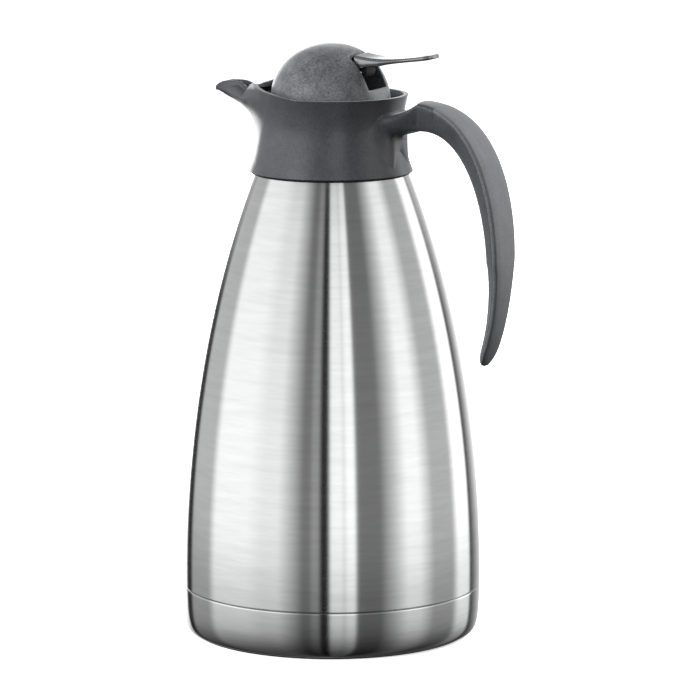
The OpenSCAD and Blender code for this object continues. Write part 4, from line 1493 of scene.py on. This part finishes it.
@dataclass
class Studio:
    """Camera, floor, lamps and the surrounding panels."""

    eye: Point = (0.92976, -1.99388, 0.513)
    aim: Point = (0.00865, 0.00403, 0.1442)
    lens: float = 226.03
    fill: float = 0.4

    def camera(self) -> None:
        """Sets the camera where the photograph was taken from."""
        data = bpy.data.cameras.new("camera")
        data.lens, data.sensor_width = self.lens, 36.0
        data.clip_start, data.clip_end = 0.05, 20.0
        obj = bpy.data.objects.new("camera", data)
        obj.location = self.eye
        look = Vector(self.aim) - Vector(self.eye)
        obj.rotation_euler = look.to_track_quat("-Z", "Y").to_euler()
        bpy.context.scene.collection.objects.link(obj)
        bpy.context.scene.camera = obj

    def floor(self) -> None:
        """Lays the pale floor, hidden from glossy and diffuse rays; it keeps a faint shadow."""
        mesh = bpy.data.meshes.new("floor")
        mesh.from_pydata([(-4, -4, 0), (4, -4, 0), (4, 4, 0), (-4, 4, 0)], [], [(0, 1, 2, 3)])
        obj = bpy.data.objects.new("floor", mesh)
        bpy.context.scene.collection.objects.link(obj)
        material, tree = new_material("pale floor")
        path = tree.add("ShaderNodeLightPath")
        pale = tree.add("ShaderNodeBsdfDiffuse", {"Color": (0.93, 0.93, 0.93, 1.0)})
        lift = tree.add("ShaderNodeEmission", {
            "Color": (1.0, 1.0, 1.0, 1.0),
            "Strength": tree.math("MULTIPLY", path.outputs["Is Camera Ray"], 0.62)})
        both = tree.add("ShaderNodeAddShader", {0: pale.outputs[0], 1: lift.outputs[0]})
        tree.add("ShaderNodeOutputMaterial", {"Surface": both.outputs[0]})
        mesh.materials.append(material)
        obj.visible_glossy = obj.visible_diffuse = False

    def world(self) -> None:
        """Builds the surroundings: white to the camera, panels to glossy faces, plain to the rest."""
        world = bpy.data.worlds.new("studio")
        bpy.context.scene.world = world
        world.use_nodes = True
        tree = Tree(world.node_tree)
        path = tree.add("ShaderNodeLightPath")
        ray = tree.add("ShaderNodeSeparateXYZ", {0: tree.add("ShaderNodeTexCoord").outputs["Generated"]})
        side = math.atan2(self.eye[1] - self.aim[1], self.eye[0] - self.aim[0])
        turn = tree.math("SUBTRACT", tree.math("ARCTAN2", ray.outputs[1], ray.outputs[0]), side)
        turn = tree.math("FRACT", tree.math("ADD", tree.math("DIVIDE", turn, math.tau), 1.5))
        ramp = tree.add("ShaderNodeValToRGB", {0: turn})
        self.paint_panels(ramp.color_ramp)
        fade = tree.add("ShaderNodeFloatCurve", {"Value": tree.math("ADD", ray.outputs[2], 1.0)})
        line = fade.mapping.curves[0]
        line.points[0].location, line.points[1].location = (0.0, 0.05), (1.0, 1.0)
        for z, level in ((-0.42, 0.2), (-0.25, 0.55), (-0.19, 0.7), (-0.165, 0.95), (-0.15, 1.0)):
            line.points.new(1 + z, level)
        fade.mapping.update()
        behind = tree.math("ABSOLUTE", tree.math("SUBTRACT", turn, 0.5))
        behind = tree.add("ShaderNodeMapRange", {"Value": behind, "From Min": 0.36, "From Max": 0.41})
        above = tree.add("ShaderNodeMapRange", {"Value": ray.outputs[2], "From Min": 0.0, "From Max": 0.1})
        veil = tree.add("ShaderNodeMix", {
            0: tree.math("MULTIPLY", behind.outputs[0], above.outputs[0]), 6: ramp.outputs[0],
            7: (0.6, 0.6, 0.6, 1.0)}, data_type="RGBA")
        top = tree.add("ShaderNodeMapRange", {"Value": ray.outputs[2], "From Min": 0.5,
                                              "From Max": 0.75, "To Min": 0.0, "To Max": 0.95})
        panels = tree.add("ShaderNodeMix", {0: top.outputs[0], 6: veil.outputs[2],
                                            7: (0.16, 0.16, 0.16, 1.0)}, data_type="RGBA")
        soft = tree.add("ShaderNodeMapRange", {"Value": ray.outputs[2], "From Min": -0.4, "From Max": 0.3,
                                               "To Min": 0.25 * self.fill, "To Max": self.fill})
        plain = tree.math("MAXIMUM", soft.outputs[0], path.outputs["Is Camera Ray"])
        shiny = tree.math("MAXIMUM", path.outputs["Is Glossy Ray"], path.outputs["Is Transmission Ray"])
        colour = tree.add("ShaderNodeMix", {0: shiny, 6: (1.0, 1.0, 1.0, 1.0), 7: panels.outputs[2]},
                          data_type="RGBA")
        level = tree.add("ShaderNodeMix", {0: shiny, 2: plain, 3: fade.outputs[0]}, data_type="FLOAT")
        light = tree.add("ShaderNodeBackground", {"Color": colour.outputs[2], "Strength": level.outputs[0]})
        tree.add("ShaderNodeOutputWorld", {"Surface": light.outputs[0]})

    def paint_panels(self, ramp: bpy.types.ColorRamp) -> None:
        """Sets a colour ramp to the panels.

        Args:
            ramp: the ramp, whose ends lie behind the bottle.
        """
        stops: list[tuple[float, float]] = [(0.0, PANELS[0].level)]
        for before, panel in zip(PANELS, PANELS[1:]):
            edge = (panel.start + 180) / 360
            half = panel.soft / 720
            stops += [(edge - half, before.level), (edge + half, panel.level)]
        if len(stops) > 32:
            drop = {k for k in range(2, len(stops) - 1)
                    if abs(stops[k][0] - stops[k - 1][0]) < 0.012 and stops[k][1] == stops[k - 1][1]}
            stops = [s for k, s in enumerate(stops) if k not in sorted(drop)[:len(stops) - 32]]
        stops = stops[:31] + [(1.0, PANELS[-1].level)]
        while len(ramp.elements) > 1:
            ramp.elements.remove(ramp.elements[-1])
        first = ramp.elements[0]
        for k, (place, level) in enumerate(stops):
            stop = first if k == 0 else ramp.elements.new(place)
            stop.position = place
            stop.color = (level, level, level * 0.995, 1.0)

    def lamp(self, name: str, spot: Point, size: float, power: float, glossy: bool = False) -> None:
        """Hangs a soft square lamp.

        Args:
            name: the lamp's name.
            spot: where it hangs.
            size: its side.
            power: its power in watts.
            glossy: whether glossy faces see it.
        """
        data = bpy.data.lights.new(name, "AREA")
        data.shape, data.size, data.energy = "SQUARE", size, power
        obj = bpy.data.objects.new(name, data)
        obj.location = spot
        look = Vector((0.0, 0.0, 0.15)) - Vector(spot)
        obj.rotation_euler = look.to_track_quat("-Z", "Y").to_euler()
        obj.visible_camera, obj.visible_glossy = False, glossy
        bpy.context.scene.collection.objects.link(obj)

    def build(self) -> None:
        """Sets up the whole studio."""
        self.camera()
        self.floor()
        self.world()
        self.lamp("key", (-0.95, -1.85, 1.15), 1.0, 50.0)
        self.lamp("rim", (-1.9, 0.4, 0.5), 0.8, 26.0)
        self.lamp("left edge", (-1.24, 1.57, 0.25), 1.1, 6.5, glossy=True)
        self.lamp("right rim", (0.78, 1.84, 1.25), 0.8, 100.0)
        self.lamp("top", (0.1, -0.1, 1.9), 1.4, 3.0)
        LOG.info("studio: %d panels", len(PANELS))


# ---- Assembly ----

KEPT_NODES = {
    "getter": Slot.BRASS, "evacuation_seal": Slot.BRASS,
    "neck_clamp_ring": Slot.INNER, "bowl_seal": Slot.SILICONE, "stopper_cap": Slot.INNER,
    "stem_seal": Slot.RUBBER, "stopper_gasket": Slot.SILICONE, "valve_stem": Slot.BRIGHT,
    "valve_disc": Slot.INNER, "valve_gasket": Slot.SILICONE, "stem_cap": Slot.INNER,
}


def main() -> None:
    """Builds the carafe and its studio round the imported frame."""
    logging.basicConfig(level=logging.INFO, format="%(name)s: %(message)s")
    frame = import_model()
    scene = bpy.context.scene
    scene.view_settings.view_transform = "Standard"
    dresser = Dresser()
    for node, slot in KEPT_NODES.items():
        dresser.repaint(frame, node, slot)
    bottle = Bottle()
    steps: list[Callable[[Dresser], bpy.types.Object]] = [
        bottle.shell, bottle.base, bottle.foot, bottle.vessel]
    collar = Collar()
    handle = Handle(collar)
    stopper, lever = Stopper(), Lever()
    steps += [collar.build, collar.seal, handle.grip, handle.back_cover, Dome().build, stopper.body,
              stopper.thread, stopper.screws, stopper.pin, stopper.spring, lever.build, lever.hub]
    for step in steps:
        step(dresser)
    # Hidden from glossy rays, so the steel mirrors no handle
    for name in ("handle_grip_moulding", "handle_back_cover"):
        bpy.data.objects[name].visible_glossy = False
    Studio().build()


if __name__ == "__main__":
    main()
